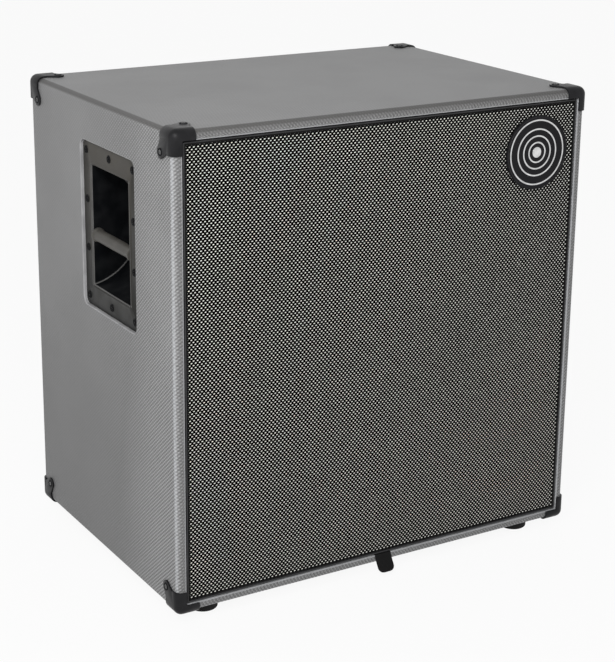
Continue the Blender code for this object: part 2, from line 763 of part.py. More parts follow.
def folds(outer, inner, count, height):
    """Points between an outer (radius, height) and an inner one, to the front and back in turn."""
    points = []
    for i in range(1, count + 1):
        share = i / (count + 1)
        sway = -height if i % 2 else height
        radius = outer[0] + (inner[0] - outer[0]) * share
        points.append((radius, outer[1] + (inner[1] - outer[1]) * share + sway))
    return points


def sheet_profile(middle, thickness):
    """A loop round a thin sheet whose middle runs through these points."""
    front = [(radius, height - thickness / 2) for radius, height in middle]
    back = [(radius, height + thickness / 2) for radius, height in reversed(middle)]
    return front + back


def basket():
    """The driver's frame: a flange, six spokes and a rear ring with the spider's ledge."""
    rear_front = BASKET_DEPTH - BASKET_REAR_HEIGHT
    inner_radius = BASKET_RADIUS - BASKET_WALL
    profile = [
        (FLANGE_RADIUS, -FLANGE_PROUD),
        (FLANGE_RADIUS, -SEAT),
        (BASKET_RADIUS, -SEAT),
        (BASKET_RADIUS, BASKET_STRAIGHT),
        (BASKET_REAR_RADIUS, rear_front),
        (BASKET_REAR_RADIUS, BASKET_DEPTH),
        (BASKET_FLOOR_HOLE, BASKET_DEPTH),
        (BASKET_FLOOR_HOLE, BASKET_DEPTH - BASKET_FLOOR),
        (BASKET_WELL_RADIUS, BASKET_DEPTH - BASKET_FLOOR),
        (BASKET_WELL_RADIUS, LEDGE_DEPTH),
        (LEDGE_RADIUS, LEDGE_DEPTH),
        (inner_radius, BASKET_STRAIGHT - BASKET_WALL),
        (inner_radius, -FLANGE_STEP_PROUD),
        (FLANGE_STEP_RADIUS, -FLANGE_STEP_PROUD),
        (FLANGE_STEP_RADIUS, -FLANGE_PROUD),
    ]
    body = turned(profile, "Y", WOOFER_STEPS)
    pitch = 360 / SPOKE_COUNT
    for i in range(SPOKE_COUNT):
        start = i * pitch + SPOKE_ANGLE / 2
        end = (i + 1) * pitch - SPOKE_ANGLE / 2
        outline = arc((0, 0), FLANGE_RADIUS, start, end, WINDOW_STEPS)
        outline += reversed(arc((0, 0), LEDGE_RADIUS, start, end, 1))
        cut(body, prism(outline, "Y", WINDOW_FROM, WINDOW_TO))
    return body


def motor():
    """The magnet between its two plates, with the pole piece that the coil rides over."""
    front = BASKET_DEPTH + SEAT
    magnet_front = front + PLATE_THICKNESS
    magnet_back = magnet_front + MAGNET_THICKNESS
    back = magnet_back + PLATE_THICKNESS
    pole_radius = COIL_RADIUS - COIL_RUNNING_GAP
    gap_radius = COIL_RADIUS + COIL_WALL + COIL_RUNNING_GAP
    profile = [
        (POLE_VENT_RADIUS, front),
        (pole_radius, front),
        (pole_radius, magnet_back),
        (gap_radius, magnet_back),
        (gap_radius, front),
        (PLATE_RADIUS, front),
        (PLATE_RADIUS, magnet_front),
        (MAGNET_RADIUS, magnet_front),
        (MAGNET_RADIUS, magnet_back),
        (PLATE_RADIUS, magnet_back),
        (PLATE_RADIUS, back),
        (POLE_VENT_RADIUS, back),
    ]
    return turned(profile, "Y", MOTOR_STEPS)


def cone_face(radius):
    """How deep the cone's front face lies at a radius."""
    neck = COIL_RADIUS + COIL_WALL
    edge = CONE_EDGE_RADIUS - CONE_EDGE_WIDTH
    share = (radius - neck) / (edge - neck)
    straight = CONE_NECK_DEPTH + (CONE_EDGE_DEPTH - CONE_NECK_DEPTH) * share
    return straight - CONE_FLARE * sin(pi * share)


def cone():
    """The paper cone with its dust cap and the coil former behind it, as one turned piece."""
    edge = CONE_EDGE_RADIUS - CONE_EDGE_WIDTH
    middle = (edge + DUST_CAP_RADIUS) / 2
    coil_end = BASKET_DEPTH + SEAT + COIL_OVERLAP
    cap_base = cone_face(DUST_CAP_RADIUS)
    cap_inside = DUST_CAP_RADIUS - 2 * CONE_THICKNESS
    cap = [(DUST_CAP_RADIUS * sin(a), cap_base - DUST_CAP_RISE * cos(a)) for a in (0, pi / 4)]
    under = [(cap_inside * sin(a), cap_base - DUST_CAP_RISE * cos(a)) for a in (pi / 4, 0)]
    profile = cap + [
        (DUST_CAP_RADIUS, cap_base),
        (middle, cone_face(middle)),
        (edge, CONE_EDGE_DEPTH),
        (CONE_EDGE_RADIUS, CONE_EDGE_DEPTH),
        (CONE_EDGE_RADIUS, CONE_EDGE_DEPTH + CONE_THICKNESS),
        (edge, CONE_EDGE_DEPTH + CONE_THICKNESS),
        (middle, cone_face(middle) + CONE_THICKNESS),
        (COIL_RADIUS + COIL_WALL, CONE_NECK_DEPTH + CONE_THICKNESS),
        (COIL_RADIUS + COIL_WALL, coil_end),
        (COIL_RADIUS, coil_end),
        (COIL_RADIUS, CONE_NECK_DEPTH),
        (cap_inside, cone_face(cap_inside)),
    ]
    profile += [(radius, depth + CONE_THICKNESS) for radius, depth in under]
    return turned(profile, "Y", WOOFER_STEPS)


def surround():
    """The pleated cloth ring between the flange's step and the cone's edge."""
    half = SURROUND_THICKNESS / 2
    outer_depth = -FLANGE_STEP_PROUD - SEAT - half
    inner_depth = CONE_EDGE_DEPTH - SEAT - half
    outer = (BASKET_RADIUS - BASKET_WALL + SURROUND_THICKNESS, outer_depth)
    inner = (CONE_EDGE_RADIUS - SURROUND_THICKNESS, inner_depth)
    middle = [(FLANGE_STEP_RADIUS - 2 * SEAT, outer_depth), outer]
    middle += folds(outer, inner, SURROUND_FOLD_COUNT, SURROUND_FOLD_HEIGHT)
    middle += [inner, (CONE_EDGE_RADIUS - CONE_EDGE_WIDTH + SEAT, inner_depth)]
    return turned(sheet_profile(middle, SURROUND_THICKNESS), "Y", WOOFER_STEPS)


def spider():
    """The cupped, corrugated disc that centres the coil."""
    outer_depth = LEDGE_DEPTH - SEAT - SPIDER_THICKNESS / 2
    inner_depth = outer_depth - SPIDER_CUP
    outer_radius = LEDGE_RADIUS * cos(pi / WOOFER_STEPS) - SEAT
    coil = COIL_RADIUS + COIL_WALL
    inner_radius = coil / cos(pi / SPIDER_STEPS) + 2 * SEAT
    outer = (BASKET_WELL_RADIUS, outer_depth)
    inner = (inner_radius + SPIDER_LIP, inner_depth)
    middle = [(outer_radius, outer_depth), outer]
    middle += folds(outer, inner, SPIDER_FOLD_COUNT, SPIDER_FOLD_HEIGHT)
    middle += [inner, (inner_radius, inner_depth)]
    return turned(sheet_profile(middle, SPIDER_THICKNESS), "Y", SPIDER_STEPS)


def make_woofers(mats):
    """Four alike drivers. Each piece is made once and shared by the four."""
    makers = {
        "basket": (basket, "basket"),
        "motor": (motor, "magnet"),
        "cone": (cone, "paper"),
        "surround": (surround, "surround"),
        "spider": (spider, "spider"),
    }
    for kind, (maker, material_name) in makers.items():
        first = None
        for position, (x, z) in WOOFER_CENTRES.items():
            name = kind + "_" + position
            place = (x, BAFFLE_Y, z)
            if first is None:
                first = piece(maker(), name, mats[material_name], place)
            else:
                copy_of(first, name, place)


# Horn, its driver and the ports


def horn_radius(depth):
    """The horn's bore: exponential from the mouth to the throat."""
    share = (depth + HORN_FLANGE_THICKNESS) / (HORN_DEPTH + HORN_FLANGE_THICKNESS)
    return HORN_MOUTH_RADIUS * (HORN_THROAT_RADIUS / HORN_MOUTH_RADIUS) ** share


def make_horn(mats):
    """A round exponential horn with a front flange and a smaller one for its driver."""
    flange_front = -HORN_FLANGE_THICKNESS - SEAT
    rear_flange = HORN_DEPTH - HORN_REAR_FLANGE_THICKNESS
    stations = [HORN_DEPTH * share for share in HORN_STATIONS]
    profile = [(HORN_MOUTH_RADIUS, flange_front)]
    profile += [(horn_radius(depth), depth) for depth in stations]
    profile += [
        (HORN_THROAT_RADIUS, HORN_DEPTH),
        (HORN_REAR_FLANGE_RADIUS, HORN_DEPTH),
        (HORN_REAR_FLANGE_RADIUS, rear_flange),
        (horn_radius(rear_flange) + HORN_WALL, rear_flange),
    ]
    profile += [(horn_radius(depth) + HORN_WALL, depth) for depth in reversed(stations)]
    profile += [
        (HORN_MOUTH_RADIUS + HORN_WALL, -SEAT),
        (HORN_FLANGE_RADIUS, -SEAT),
        (HORN_FLANGE_RADIUS, flange_front),
    ]
    horn = turned(profile, "Y", WOOFER_STEPS)
    piece(horn, "horn", mats["black_plastic"], (0.0, BAFFLE_Y, MIDDLE_Z))


def make_compression_driver(mats):
    """The driver behind the horn, with the short bore that meets the horn's throat."""
    front = HORN_DEPTH + SEAT
    back = front + TWEETER_LENGTH
    profile = [
        (0.0, front + TWEETER_CAP_LENGTH),
        (HORN_THROAT_RADIUS, front + TWEETER_CAP_LENGTH),
        (HORN_THROAT_RADIUS, front),
        (TWEETER_CAP_RADIUS, front),
        (TWEETER_RADIUS, front + TWEETER_CAP_LENGTH),
        (TWEETER_RADIUS, back - TWEETER_CAP_LENGTH),
        (TWEETER_CAP_RADIUS, back),
        (0.0, back),
    ]
    driver = turned(profile, "Y", MOTOR_STEPS)
    piece(driver, "compression_driver", mats["magnet"], (0.0, BAFFLE_Y, MIDDLE_Z))


def make_ports(mats):
    """Two straight tubes with a flared, flanged mouth."""
    outside = PORT_BORE_RADIUS + PORT_WALL
    flange = PORT_FLANGE_RADIUS
    flange_front = -PORT_FLANGE_THICKNESS - SEAT
    profile = [
        (PORT_BORE_RADIUS + PORT_FLARE / 2, flange_front),
        (PORT_BORE_RADIUS, flange_front + PORT_FLARE),
        (PORT_BORE_RADIUS, PORT_LENGTH),
        (outside, PORT_LENGTH),
        (outside, -SEAT),
        (flange, -SEAT),
        (flange, flange_front),
    ]
    for side_name, side in SIDES.items():
        tube = turned(profile, "Y", PORT_STEPS)
        place = (side * PORT_OFFSET, BAFFLE_Y, MIDDLE_Z)
        piece(tube, "port_tube_" + side_name, mats["black_plastic"], place)


# Grille


def make_grille(mats):
    """The frame, its cloth, a plain round badge and the tab that pulls the grille off."""
    slide = bpy.data.objects.new("grille_slide", None)
    bpy.context.scene.collection.objects.link(slide)
    slide.location = (0.0, FRONT_Y, MIDDLE_Z)
    bpy.context.view_layer.update()
    half_width = OPENING_X - GRILLE_CLEARANCE
    half_height = OPENING_Z - GRILLE_CLEARANCE
    seat_y = FRONT_Y + CLOTH_SETBACK + CLOTH_THICKNESS + SEAT
    front_y = FRONT_Y + GRILLE_FRONT_SETBACK
    back_y = FRONT_Y + GRILLE_FRONT_SETBACK + GRILLE_FRAME_THICKNESS
    section = [
        (0.0, front_y),
        (GRILLE_BORDER_WIDTH, front_y),
        (GRILLE_BORDER_WIDTH, seat_y),
        (GRILLE_FRAME_WIDTH, seat_y),
        (GRILLE_FRAME_WIDTH, back_y),
        (0.0, back_y),
    ]
    frame = framed(section, half_width, half_height)
    piece(frame, "grille_frame", mats["black_wood"], parent=slide)
    reach_x = half_width - GRILLE_BORDER_WIDTH - SEAT
    reach_z = half_height - GRILLE_BORDER_WIDTH - SEAT
    cloth_y = FRONT_Y + CLOTH_SETBACK
    low = (-reach_x, cloth_y, MIDDLE_Z - reach_z)
    cloth = block(low, (reach_x, cloth_y + CLOTH_THICKNESS, MIDDLE_Z + reach_z))
    piece(cloth, "grille_cloth", mats["cloth"], parent=slide)
    make_badge(mats, slide, cloth_y - SEAT)
    make_tab(mats, slide, MIDDLE_Z - half_height - SEAT)


def make_badge(mats, slide, back_y):
    """A plain disc with a raised rim and a raised middle."""
    face = -BADGE_THICKNESS + BADGE_FACE_DROP
    rim_inside = BADGE_RADIUS - BADGE_RIM_WIDTH
    profile = [
        (0.0, -BADGE_THICKNESS),
        (BADGE_BOSS_RADIUS, -BADGE_THICKNESS),
        (BADGE_BOSS_RADIUS, face),
        (rim_inside, face),
        (rim_inside, -BADGE_THICKNESS),
        (BADGE_RADIUS, -BADGE_THICKNESS),
        (BADGE_RADIUS, 0.0),
        (0.0, 0.0),
    ]
    badge = turned(profile, "Y", ROUND_STEPS)
    place = (SIDE_X - BADGE_FROM_SIDE, back_y, TOP_Z - BADGE_FROM_TOP)
    piece(badge, "grille_badge", mats["badge"], place, parent=slide)


def tab_route(top_z):
    """The tab's middle line from under the frame, over the rim and down, as (y, z) points."""
    half = TAB_THICKNESS / 2
    level_z = top_z - half
    hang_y = FRONT_Y - SEAT - half
    bend_z = level_z - TAB_BEND_RADIUS
    bend_y = hang_y + TAB_BEND_RADIUS
    route = [(FRONT_Y + TAB_HIDDEN_LENGTH, level_z)]
    route += arc((bend_y, bend_z), TAB_BEND_RADIUS, 90, 180, 2)
    low_z = BASE_Z - TAB_BELOW_CABINET
    length = bend_z - low_z
    for i in range(1, TAB_STEPS + 1):
        share = i / TAB_STEPS
        route.append((hang_y - TAB_FLARE * share * share, bend_z - length * share))
    return route


def make_tab(mats, slide, top_z):
    """A short strap with a round end."""
    route = tab_route(top_z)
    lengths = [0.0]
    for (y0, z0), (y1, z1) in zip(route, route[1:]):
        lengths.append(lengths[-1] + hypot(y1 - y0, z1 - z0))
    mesh_bm = bmesh.new()
    rings = []
    for i, (y, z) in enumerate(route):
        before = route[max(i - 1, 0)]
        after = route[min(i + 1, len(route) - 1)]
        dy, dz = after[0] - before[0], after[1] - before[1]
        size = hypot(dy, dz)
        across = (-dz / size * TAB_THICKNESS / 2, dy / size * TAB_THICKNESS / 2)
        left_over = lengths[-1] - lengths[i]
        narrowing = max(0.0, 1 - left_over / (TAB_WIDTH / 2))
        half_width = TAB_WIDTH / 2 * (1 - TAB_END_SHARE * narrowing * narrowing)
        corners = ((-half_width, 1), (half_width, 1), (half_width, -1), (-half_width, -1))
        ring = [
            mesh_bm.verts.new((x, y + sign * across[0], z + sign * across[1]))
            for x, sign in corners
        ]
        rings.append(ring)
    for first, second in zip(rings, rings[1:]):
        bridge(mesh_bm, first, second)
    mesh_bm.faces.new(rings[0])
    mesh_bm.faces.new(rings[-1])
    tab = finish_mesh(mesh_bm, "grille_pull_tab")
    piece(tab, "grille_pull_tab", mats["webbing"], parent=slide)


def make_cleat(mats):
    """The batten round the opening, in front of the baffle, that the grille presses against."""
    low_y = FRONT_Y + GRILLE_FRONT_SETBACK + GRILLE_FRAME_THICKNESS + SEAT
    high_y = BAFFLE_Y - SEAT
    section = [(SEAT, low_y), (CLEAT_WIDTH, low_y), (CLEAT_WIDTH, high_y), (SEAT, high_y)]
    piece(framed(section, OPENING_X, OPENING_Z), "grille_cleat", mats["black_wood"])


# Rear input dish


def dish_block(margin, low_y):
    """The dish's outside, grown by a margin, from a depth out past the back."""
    half_width = DISH_WIDTH / 2 + DISH_WALL + margin
    half_height = DISH_HEIGHT / 2 + DISH_WALL + margin
    low = (-half_width, low_y, DISH_Z - half_height)
    return block(low, (half_width, BACK_Y + DISH_DEPTH, DISH_Z + half_height))


def make_dish(mats):
    """A pressed dish with a flange, and the holes for its two sockets and its control."""
    flange = rounded_rectangle(
        (0.0, DISH_Z), DISH_FLANGE_WIDTH, DISH_FLANGE_HEIGHT, DISH_FLANGE_RADIUS
    )
    dish = prism(flange, "Y", DISH_RIM_Y - DISH_FLANGE_THICKNESS, DISH_RIM_Y)
    half_width = DISH_WIDTH / 2
    half_height = DISH_HEIGHT / 2
    back_y = DISH_FLOOR_Y - DISH_WALL
    outside_low = (-half_width - DISH_WALL, back_y, DISH_Z - half_height - DISH_WALL)
    outside_high = (
        half_width + DISH_WALL,
        DISH_RIM_Y - DISH_FLANGE_THICKNESS / 2,
        DISH_Z + half_height + DISH_WALL,
    )
    join(dish, block(outside_low, outside_high))
    inside_low = (-half_width, DISH_FLOOR_Y, DISH_Z - half_height)
    cut(dish, block(inside_low, (half_width, BACK_Y + DISH_DEPTH, DISH_Z + half_height)))
    span = (back_y - DISH_WALL, DISH_FLOOR_Y + DISH_WALL)
    for side in SIDES.values():
        hole = (side * SOCKET_OFFSET, DISH_Z, SOCKET_RADIUS + SEAT)
        cut(dish, round_hole(*hole, *span, SMALL_ROUND_STEPS))
    hole = (0.0, DISH_Z, CONTROL_BUSHING_RADIUS + SEAT)
    cut(dish, round_hole(*hole, *span, SMALL_ROUND_STEPS))
    piece(dish, "input_dish", mats["steel"])


def make_sockets(mats):
    """Two round speaker sockets, each a well with a post in its middle."""
    front = SOCKET_FLANGE_THICKNESS + SEAT
    profile = [
        (0.0, front - SOCKET_FLANGE_THICKNESS),
        (SOCKET_POST_RADIUS, front - SOCKET_FLANGE_THICKNESS),
        (SOCKET_POST_RADIUS, front - SOCKET_WELL_DEPTH),
        (SOCKET_WELL_RADIUS, front - SOCKET_WELL_DEPTH),
        (SOCKET_WELL_RADIUS, front),
        (SOCKET_FLANGE_RADIUS, front),
        (SOCKET_FLANGE_RADIUS, SEAT),
        (SOCKET_RADIUS, SEAT),
        (SOCKET_RADIUS, front - SOCKET_LENGTH),
        (0.0, front - SOCKET_LENGTH),
    ]
    for side_name, side in SIDES.items():
        socket = turned(profile, "Y", SMALL_ROUND_STEPS)
        place = (side * SOCKET_OFFSET, DISH_FLOOR_Y, DISH_Z)
        piece(socket, "speaker_socket_" + side_name, mats["black_plastic"], place)


def make_level_control(mats):
    """The rotary control through the dish's floor, and the knob on its shaft."""
    behind = -DISH_WALL - SEAT
    shaft_end = CONTROL_BUSHING_LENGTH + CONTROL_SHAFT_LENGTH
    profile = [
        (0.0, behind - CONTROL_BODY_LENGTH),
        (CONTROL_BODY_RADIUS, behind - CONTROL_BODY_LENGTH),
        (CONTROL_BODY_RADIUS, behind),
        (CONTROL_BUSHING_RADIUS, behind),
        (CONTROL_BUSHING_RADIUS, CONTROL_BUSHING_LENGTH),
        (CONTROL_SHAFT_RADIUS, CONTROL_BUSHING_LENGTH),
        (CONTROL_SHAFT_RADIUS, shaft_end),
        (0.0, shaft_end),
    ]
    control = turned(profile, "Y", SMALL_ROUND_STEPS)
    place = (0.0, DISH_FLOOR_Y, DISH_Z)
    piece(control, "level_control", mats["steel"], place)
    base = CONTROL_BUSHING_LENGTH + SEAT
    bore = CONTROL_SHAFT_RADIUS + SEAT
    top = base + KNOB_LENGTH + KNOB_CHAMFER
    profile = [
        (0.0, shaft_end + SEAT),
        (bore, shaft_end + SEAT),
        (bore, base),
        (KNOB_RADIUS, base),
        (KNOB_RADIUS, top - KNOB_CHAMFER),
        (KNOB_RADIUS - KNOB_CHAMFER, top),
        (0.0, top),
    ]
    knob = turned(profile, "Y", SMALL_ROUND_STEPS)
    half = KNOB_POINTER_WIDTH / 2
    low = (-half, base + KNOB_CHAMFER, KNOB_RADIUS / 2)
    pointer = block(low, (half, top - KNOB_CHAMFER, KNOB_RADIUS + KNOB_POINTER_PROUD))
    join(knob, pointer)
    piece(knob, "level_knob", mats["black_plastic"], place)


# Crossover


def make_crossover(mats):
    """The board on the cabinet's floor, with its standoffs, inductors and capacitors."""
    floor_z = BASE_Z + PANEL_THICKNESS + SEAT
    board_z = floor_z + BOARD_STANDOFF
    top_z = board_z + BOARD_THICKNESS
    centre_x = BOARD_OFFSET
    centre_y = FRONT_Y + BOARD_SETBACK + BOARD_WIDTH / 2
    half_length = BOARD_LENGTH / 2
    half_width = BOARD_WIDTH / 2
    low = (centre_x - half_length, centre_y - half_width, board_z)
    board = block(low, (centre_x + half_length, centre_y + half_width, top_z))
    inside = top_z - BOARD_THICKNESS / 2
    dx = half_length - STANDOFF_INSET
    dy = half_width - STANDOFF_INSET
    for x, y in ((-dx, -dy), (dx, -dy), (-dx, dy), (dx, dy)):
        outline = circle((centre_x + x, centre_y + y), STANDOFF_RADIUS, BOARD_PART_STEPS)
        join(board, prism(outline, "Z", floor_z, inside))
    inductor_x = half_length / 2
    for x in (-inductor_x, inductor_x):
        place = (centre_x + x, centre_y - half_width / 4)
        outline = circle(place, INDUCTOR_RADIUS, BOARD_PART_STEPS)
        join(board, prism(outline, "Z", inside, top_z + INDUCTOR_HEIGHT))
    outline = circle((centre_x, centre_y + half_width / 2), CAPACITOR_RADIUS, BOARD_PART_STEPS)
    join(board, prism(outline, "Z", inside, top_z + CAPACITOR_HEIGHT))
    piece(board, "crossover_board", mats["board"])


def build():
    clear_scene()
    mats = make_materials()
    make_vinyl(mats)
    for side_name, side in SIDES.items():
        make_side_panel(mats, side_name, side)
        make_handle(mats, side_name, side)
    inset = VINYL_THICKNESS + SEAT
    make_level_panel(mats, "bottom_panel", BASE_Z + inset, BASE_Z + PANEL_THICKNESS)
    make_level_panel(mats, "top_panel", TOP_Z - PANEL_THICKNESS, TOP_Z - inset)
    make_baffle(mats)
    make_back_panel(mats)
    make_brace(mats)
    make_lining(mats)
    make_corners(mats)
    make_feet(mats)
    make_woofers(mats)
    make_horn(mats)
    make_compression_driver(mats)
    make_ports(mats)
    make_grille(mats)
    make_cleat(mats)
    make_dish(mats)
    make_sockets(mats)
    make_level_control(mats)
    make_crossover(mats)


build()
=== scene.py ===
"""Looks of the bass speaker cabinet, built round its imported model.

Metres, +Z up, and the front faces -Y. Left and right are those of someone who looks at the front.
"""

from itertools import product
from math import acos, cos, hypot, pi, radians, sin, sqrt

import bmesh
import bpy
from mathutils import Matrix, Vector


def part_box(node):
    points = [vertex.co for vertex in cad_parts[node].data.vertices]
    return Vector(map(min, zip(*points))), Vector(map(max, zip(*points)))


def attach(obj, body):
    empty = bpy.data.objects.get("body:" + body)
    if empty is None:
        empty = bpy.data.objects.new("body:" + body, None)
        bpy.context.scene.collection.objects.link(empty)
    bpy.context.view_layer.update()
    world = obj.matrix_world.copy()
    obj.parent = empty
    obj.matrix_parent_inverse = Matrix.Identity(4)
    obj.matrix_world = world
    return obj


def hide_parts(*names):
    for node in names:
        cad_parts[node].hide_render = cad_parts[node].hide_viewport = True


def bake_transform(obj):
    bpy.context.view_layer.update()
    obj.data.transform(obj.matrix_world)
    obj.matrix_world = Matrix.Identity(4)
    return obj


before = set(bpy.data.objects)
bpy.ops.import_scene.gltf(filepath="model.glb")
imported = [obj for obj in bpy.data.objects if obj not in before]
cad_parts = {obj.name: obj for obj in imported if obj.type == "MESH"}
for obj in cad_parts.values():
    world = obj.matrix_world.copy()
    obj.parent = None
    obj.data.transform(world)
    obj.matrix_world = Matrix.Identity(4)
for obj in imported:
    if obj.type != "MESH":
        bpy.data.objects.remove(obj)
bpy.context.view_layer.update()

# Camera, fitted to the photograph
CAMERA_PLACE = Vector((-1.1446, -1.9036, 1.0146))
CAMERA_AZIMUTH = -31.155
CAMERA_ELEVATION = 16.589
CAMERA_ROLL = 0.652
CAMERA_LENS = 92.734
CAMERA_SHIFT = (0.0, -0.08)

# Light
HORIZON_STRENGTH = 1.1
ZENITH_STRENGTH = 0.50
HORIZON_TOP = 0.38
ZENITH_FROM = 0.75
BACKDROP_SIDE = Vector((0.515, 0.857, 0.0))
NEAR_SHARE = 0.45
BACKGROUND = (0.956, 0.956, 0.956)
FLOOR_COLOUR = (0.80, 0.80, 0.80)
FLOOR_RADIUS = 30.0
FLOOR_GLOW = 0.92
KEY_PLACE = Vector((-1.45, -1.75, 1.75))
KEY_SIZE = 1.6
KEY_POWER = 52.0

# Places and sizes that the frame gives
SHELL_LOW, SHELL_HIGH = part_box("vinyl_covering")
SIDE_X = SHELL_HIGH.x
FRONT_Y = SHELL_LOW.y
BACK_Y = SHELL_HIGH.y
BASE_Z = SHELL_LOW.z
TOP_Z = SHELL_HIGH.z
MIDDLE_Z = (BASE_Z + TOP_Z) / 2
HALF_HEIGHT = (TOP_Z - BASE_Z) / 2
BAFFLE_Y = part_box("baffle")[0].y
BAFFLE_BACK_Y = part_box("baffle")[1].y
SEAT = 0.0003

# Cabinet shell
EDGE_RADIUS = 0.008
VINYL_THICKNESS = 0.0010
RIM_WIDTH = 0.0115
FLAP_DEPTH = 0.009
FLAP_THICKNESS = 0.0006
RIM_BEND = 0.0009
LEAST_RADIUS = 0.0002
LIP_RADIUS = 0.0012
LIP_GAP = 0.0005
LIP_THICKNESS = 0.00045

# Sides, screws and small profiles as (radius, height) pairs. SCREW_CUP counts in screw radii.
SIDES = (("left", -1), ("right", 1))
SCREW_TURN = 2.4
SCREW_STEPS = 24
SCREW_CUP = [(1.00, 0.02), (1.06, 0.02), (1.34, 0.42), (1.62, 0.34), (1.78, -0.05), (1.00, -0.05)]
BACK_WASHER = [(0.0095, 0.0), (0.0075, 0.0014), (0.0045, 0.0004), (0.0045, 0.0), (0.0070, 0.0)]
HANDLE_SINK = [(0.0, -0.0022), (0.0030, -0.0022), (0.0040, -0.0002), (0.0040, 0.002), (0.0, 0.002)]

# Corner protectors
CORNER_WALL = 0.0022
CORNER_PROUD = SEAT + CORNER_WALL
CORNER_REACH = 0.029
CORNER_WAIST = 0.0255
CORNER_WAIST_AT = 0.009
EAR_OFFSET = 0.028
EAR_RADIUS = 0.008
EAR_OPENING_ANGLE = 40

CORNER_SCREW_RADIUS = 0.0030

# Vinyl. A tuple of four holds where a factor starts and ends, and its value at both.
VINYL_LIGHT = (0.360, 0.360, 0.363)
VINYL_DARK = (0.108, 0.108, 0.108)
# The colour of the painted highlights on the front round-overs and along the rim's fold.
VINYL_HIGHLIGHT = (0.52, 0.53, 0.55)
# The colour of the painted shade on the top round-overs and the top front rim.
VINYL_PAINTED_SHADE = (0.062, 0.060, 0.058)
VINYL_PATCHES = (0.3, 0.7, 0.18, 0.30)
WEAVE_ANGLE = radians(40)
WEAVE_PITCH = 0.00375
WEAVE_CROSS_PITCH = 0.0046
WEAVE_CROSS_SLANT = 0.62
WEAVE_NUB_SHARE = 0.72
WEAVE_MEAN = 0.39
WEAVE_TO_REAR = (FRONT_Y, FRONT_Y + 0.28, 1.2, 0.18)
WEAVE_TO_TOP = (TOP_Z - EDGE_RADIUS, TOP_Z, 1.0, 0.22)
WEAVE_UNEVEN = (0.3, 0.7, 0.55, 1.45)
# Painted light and shade: the vinyl's tone is lighter upward and near the front, and darker low and at the
# rear.
PAINTED_LIGHT_UPWARD = (0.02, 0.56, 0.34, 0.76)
PAINTED_LIGHT_TO_REAR = (FRONT_Y + 0.03, FRONT_Y + 0.19, 1.08, 0.34)
PAINTED_LIGHT_OFF_TOP = (0.4, 0.8, 1.0, 0.0)
# Painted shade on the front-facing rim, fading out towards the top.
SHADED_RIM = (0.80, 0.97, 0.0, 0.45)
SHADED_RIM_UP = (TOP_Z - RIM_WIDTH, TOP_Z - EDGE_RADIUS, 1.0, 0.0)
# Painted shade along the top round-overs, and on the front rim just below the top.
EDGE_SHADE_FROM = (0.20, 0.62, 0.0, 0.80)
EDGE_SHADE_TO = (0.94, 0.998, 1.0, 0.0)
TOP_RIM_SHADE = (0.15, 0.45, 0.0, 0.60)
TOP_RIM_SHADE_UP = (TOP_Z - RIM_WIDTH - 0.002, TOP_Z - 0.004, 0.0, 1.0)
# Painted highlight on the vertical front round-overs, weaker near the top.
HIGHLIGHT_FROM = (0.02, 0.28, 0.0, 1.0)
HIGHLIGHT_TO = (0.50, 0.80, 1.0, 0.0)
HIGHLIGHT_LEVEL = (0.02, 0.30, 0.80, 0.0)
HIGHLIGHT_UP = (TOP_Z - 0.030, TOP_Z - 0.012, 1.0, 0.2)
HIGHLIGHT_UNEVEN = (0.3, 0.7, 0.5, 1.0)
# Painted highlight along the rim's inner edge, where the vinyl turns into the grille opening.
FOLD_ACROSS = (0.0002, 0.0016, 0.5, 0.0)
FOLD_BACK = (FRONT_Y + 0.002, FRONT_Y + 0.004, 1.0, 0.0)

# Back board
BACK_LOW, BACK_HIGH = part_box("back_panel")
BACK_EDGE = 0.0012
BACK_CORNER = 0.002
BACK_SCREW_INSET = 0.012
BACK_SCREW_COUNT = 5
BACK_SCREW_RADIUS = 0.0045
BACK_SCREW_RISE = 0.0012
BACK_SCREW_END = 0.035

# Feet
FOOT_ROUND = 0.0022
FOOT_TAPER = 0.0012
FOOT_WELL_RADIUS = 0.0060
FOOT_WELL_DEPTH = 0.009
FOOT_SCREW_RADIUS = 0.0045
FOOT_SCREW_Z = 0.0072

# Handles
HANDLE_LOW, HANDLE_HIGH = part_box("left_handle_cup")
HANDLE_Y = (HANDLE_LOW.y + HANDLE_HIGH.y) / 2
HANDLE_Z = (HANDLE_LOW.z + HANDLE_HIGH.z) / 2
HANDLE_HALF_LENGTH = (HANDLE_HIGH.y - HANDLE_LOW.y) / 2
HANDLE_HALF_HEIGHT = (HANDLE_HIGH.z - HANDLE_LOW.z) / 2
HANDLE_FRAME_RADIUS = 0.0095
HANDLE_FRAME_THICKNESS = 0.003
HANDLE_REBATE = SIDE_X + HANDLE_LOW.x
HANDLE_BEVEL = 0.0011
SCOOP_HALF_LENGTH = 0.054
SCOOP_RADIUS = 0.080
SCOOP_AXIS_OUTSIDE = 0.009
SCOOP_WALL = 0.0025
SCOOP_CORNER = 0.0032
SCOOP_LIP = 0.0016
SCOOP_SHADE_DEPTH = 0.0058
SCOOP_BEAD = ((0.0046, 0.0), (0.0040, 0.0004), (0.0034, 0.0006), (0.0022, 0.0006))
SCREW_COLUMN = 0.0676
SCREW_ROW = 0.0637
HANDLE_SCREW_RADIUS = 0.0028
HANDLE_CUP_RADIUS = 0.0030
HANDLE_SCREW_SUNK = 0.0002
BAR_SHY = 0.0008

BAR_COLLAR = 0.0014
BAR_COLLAR_END = 0.0035
BAR_COLLAR_FOOT = 0.0048
BAR_SWELL = 0.0002

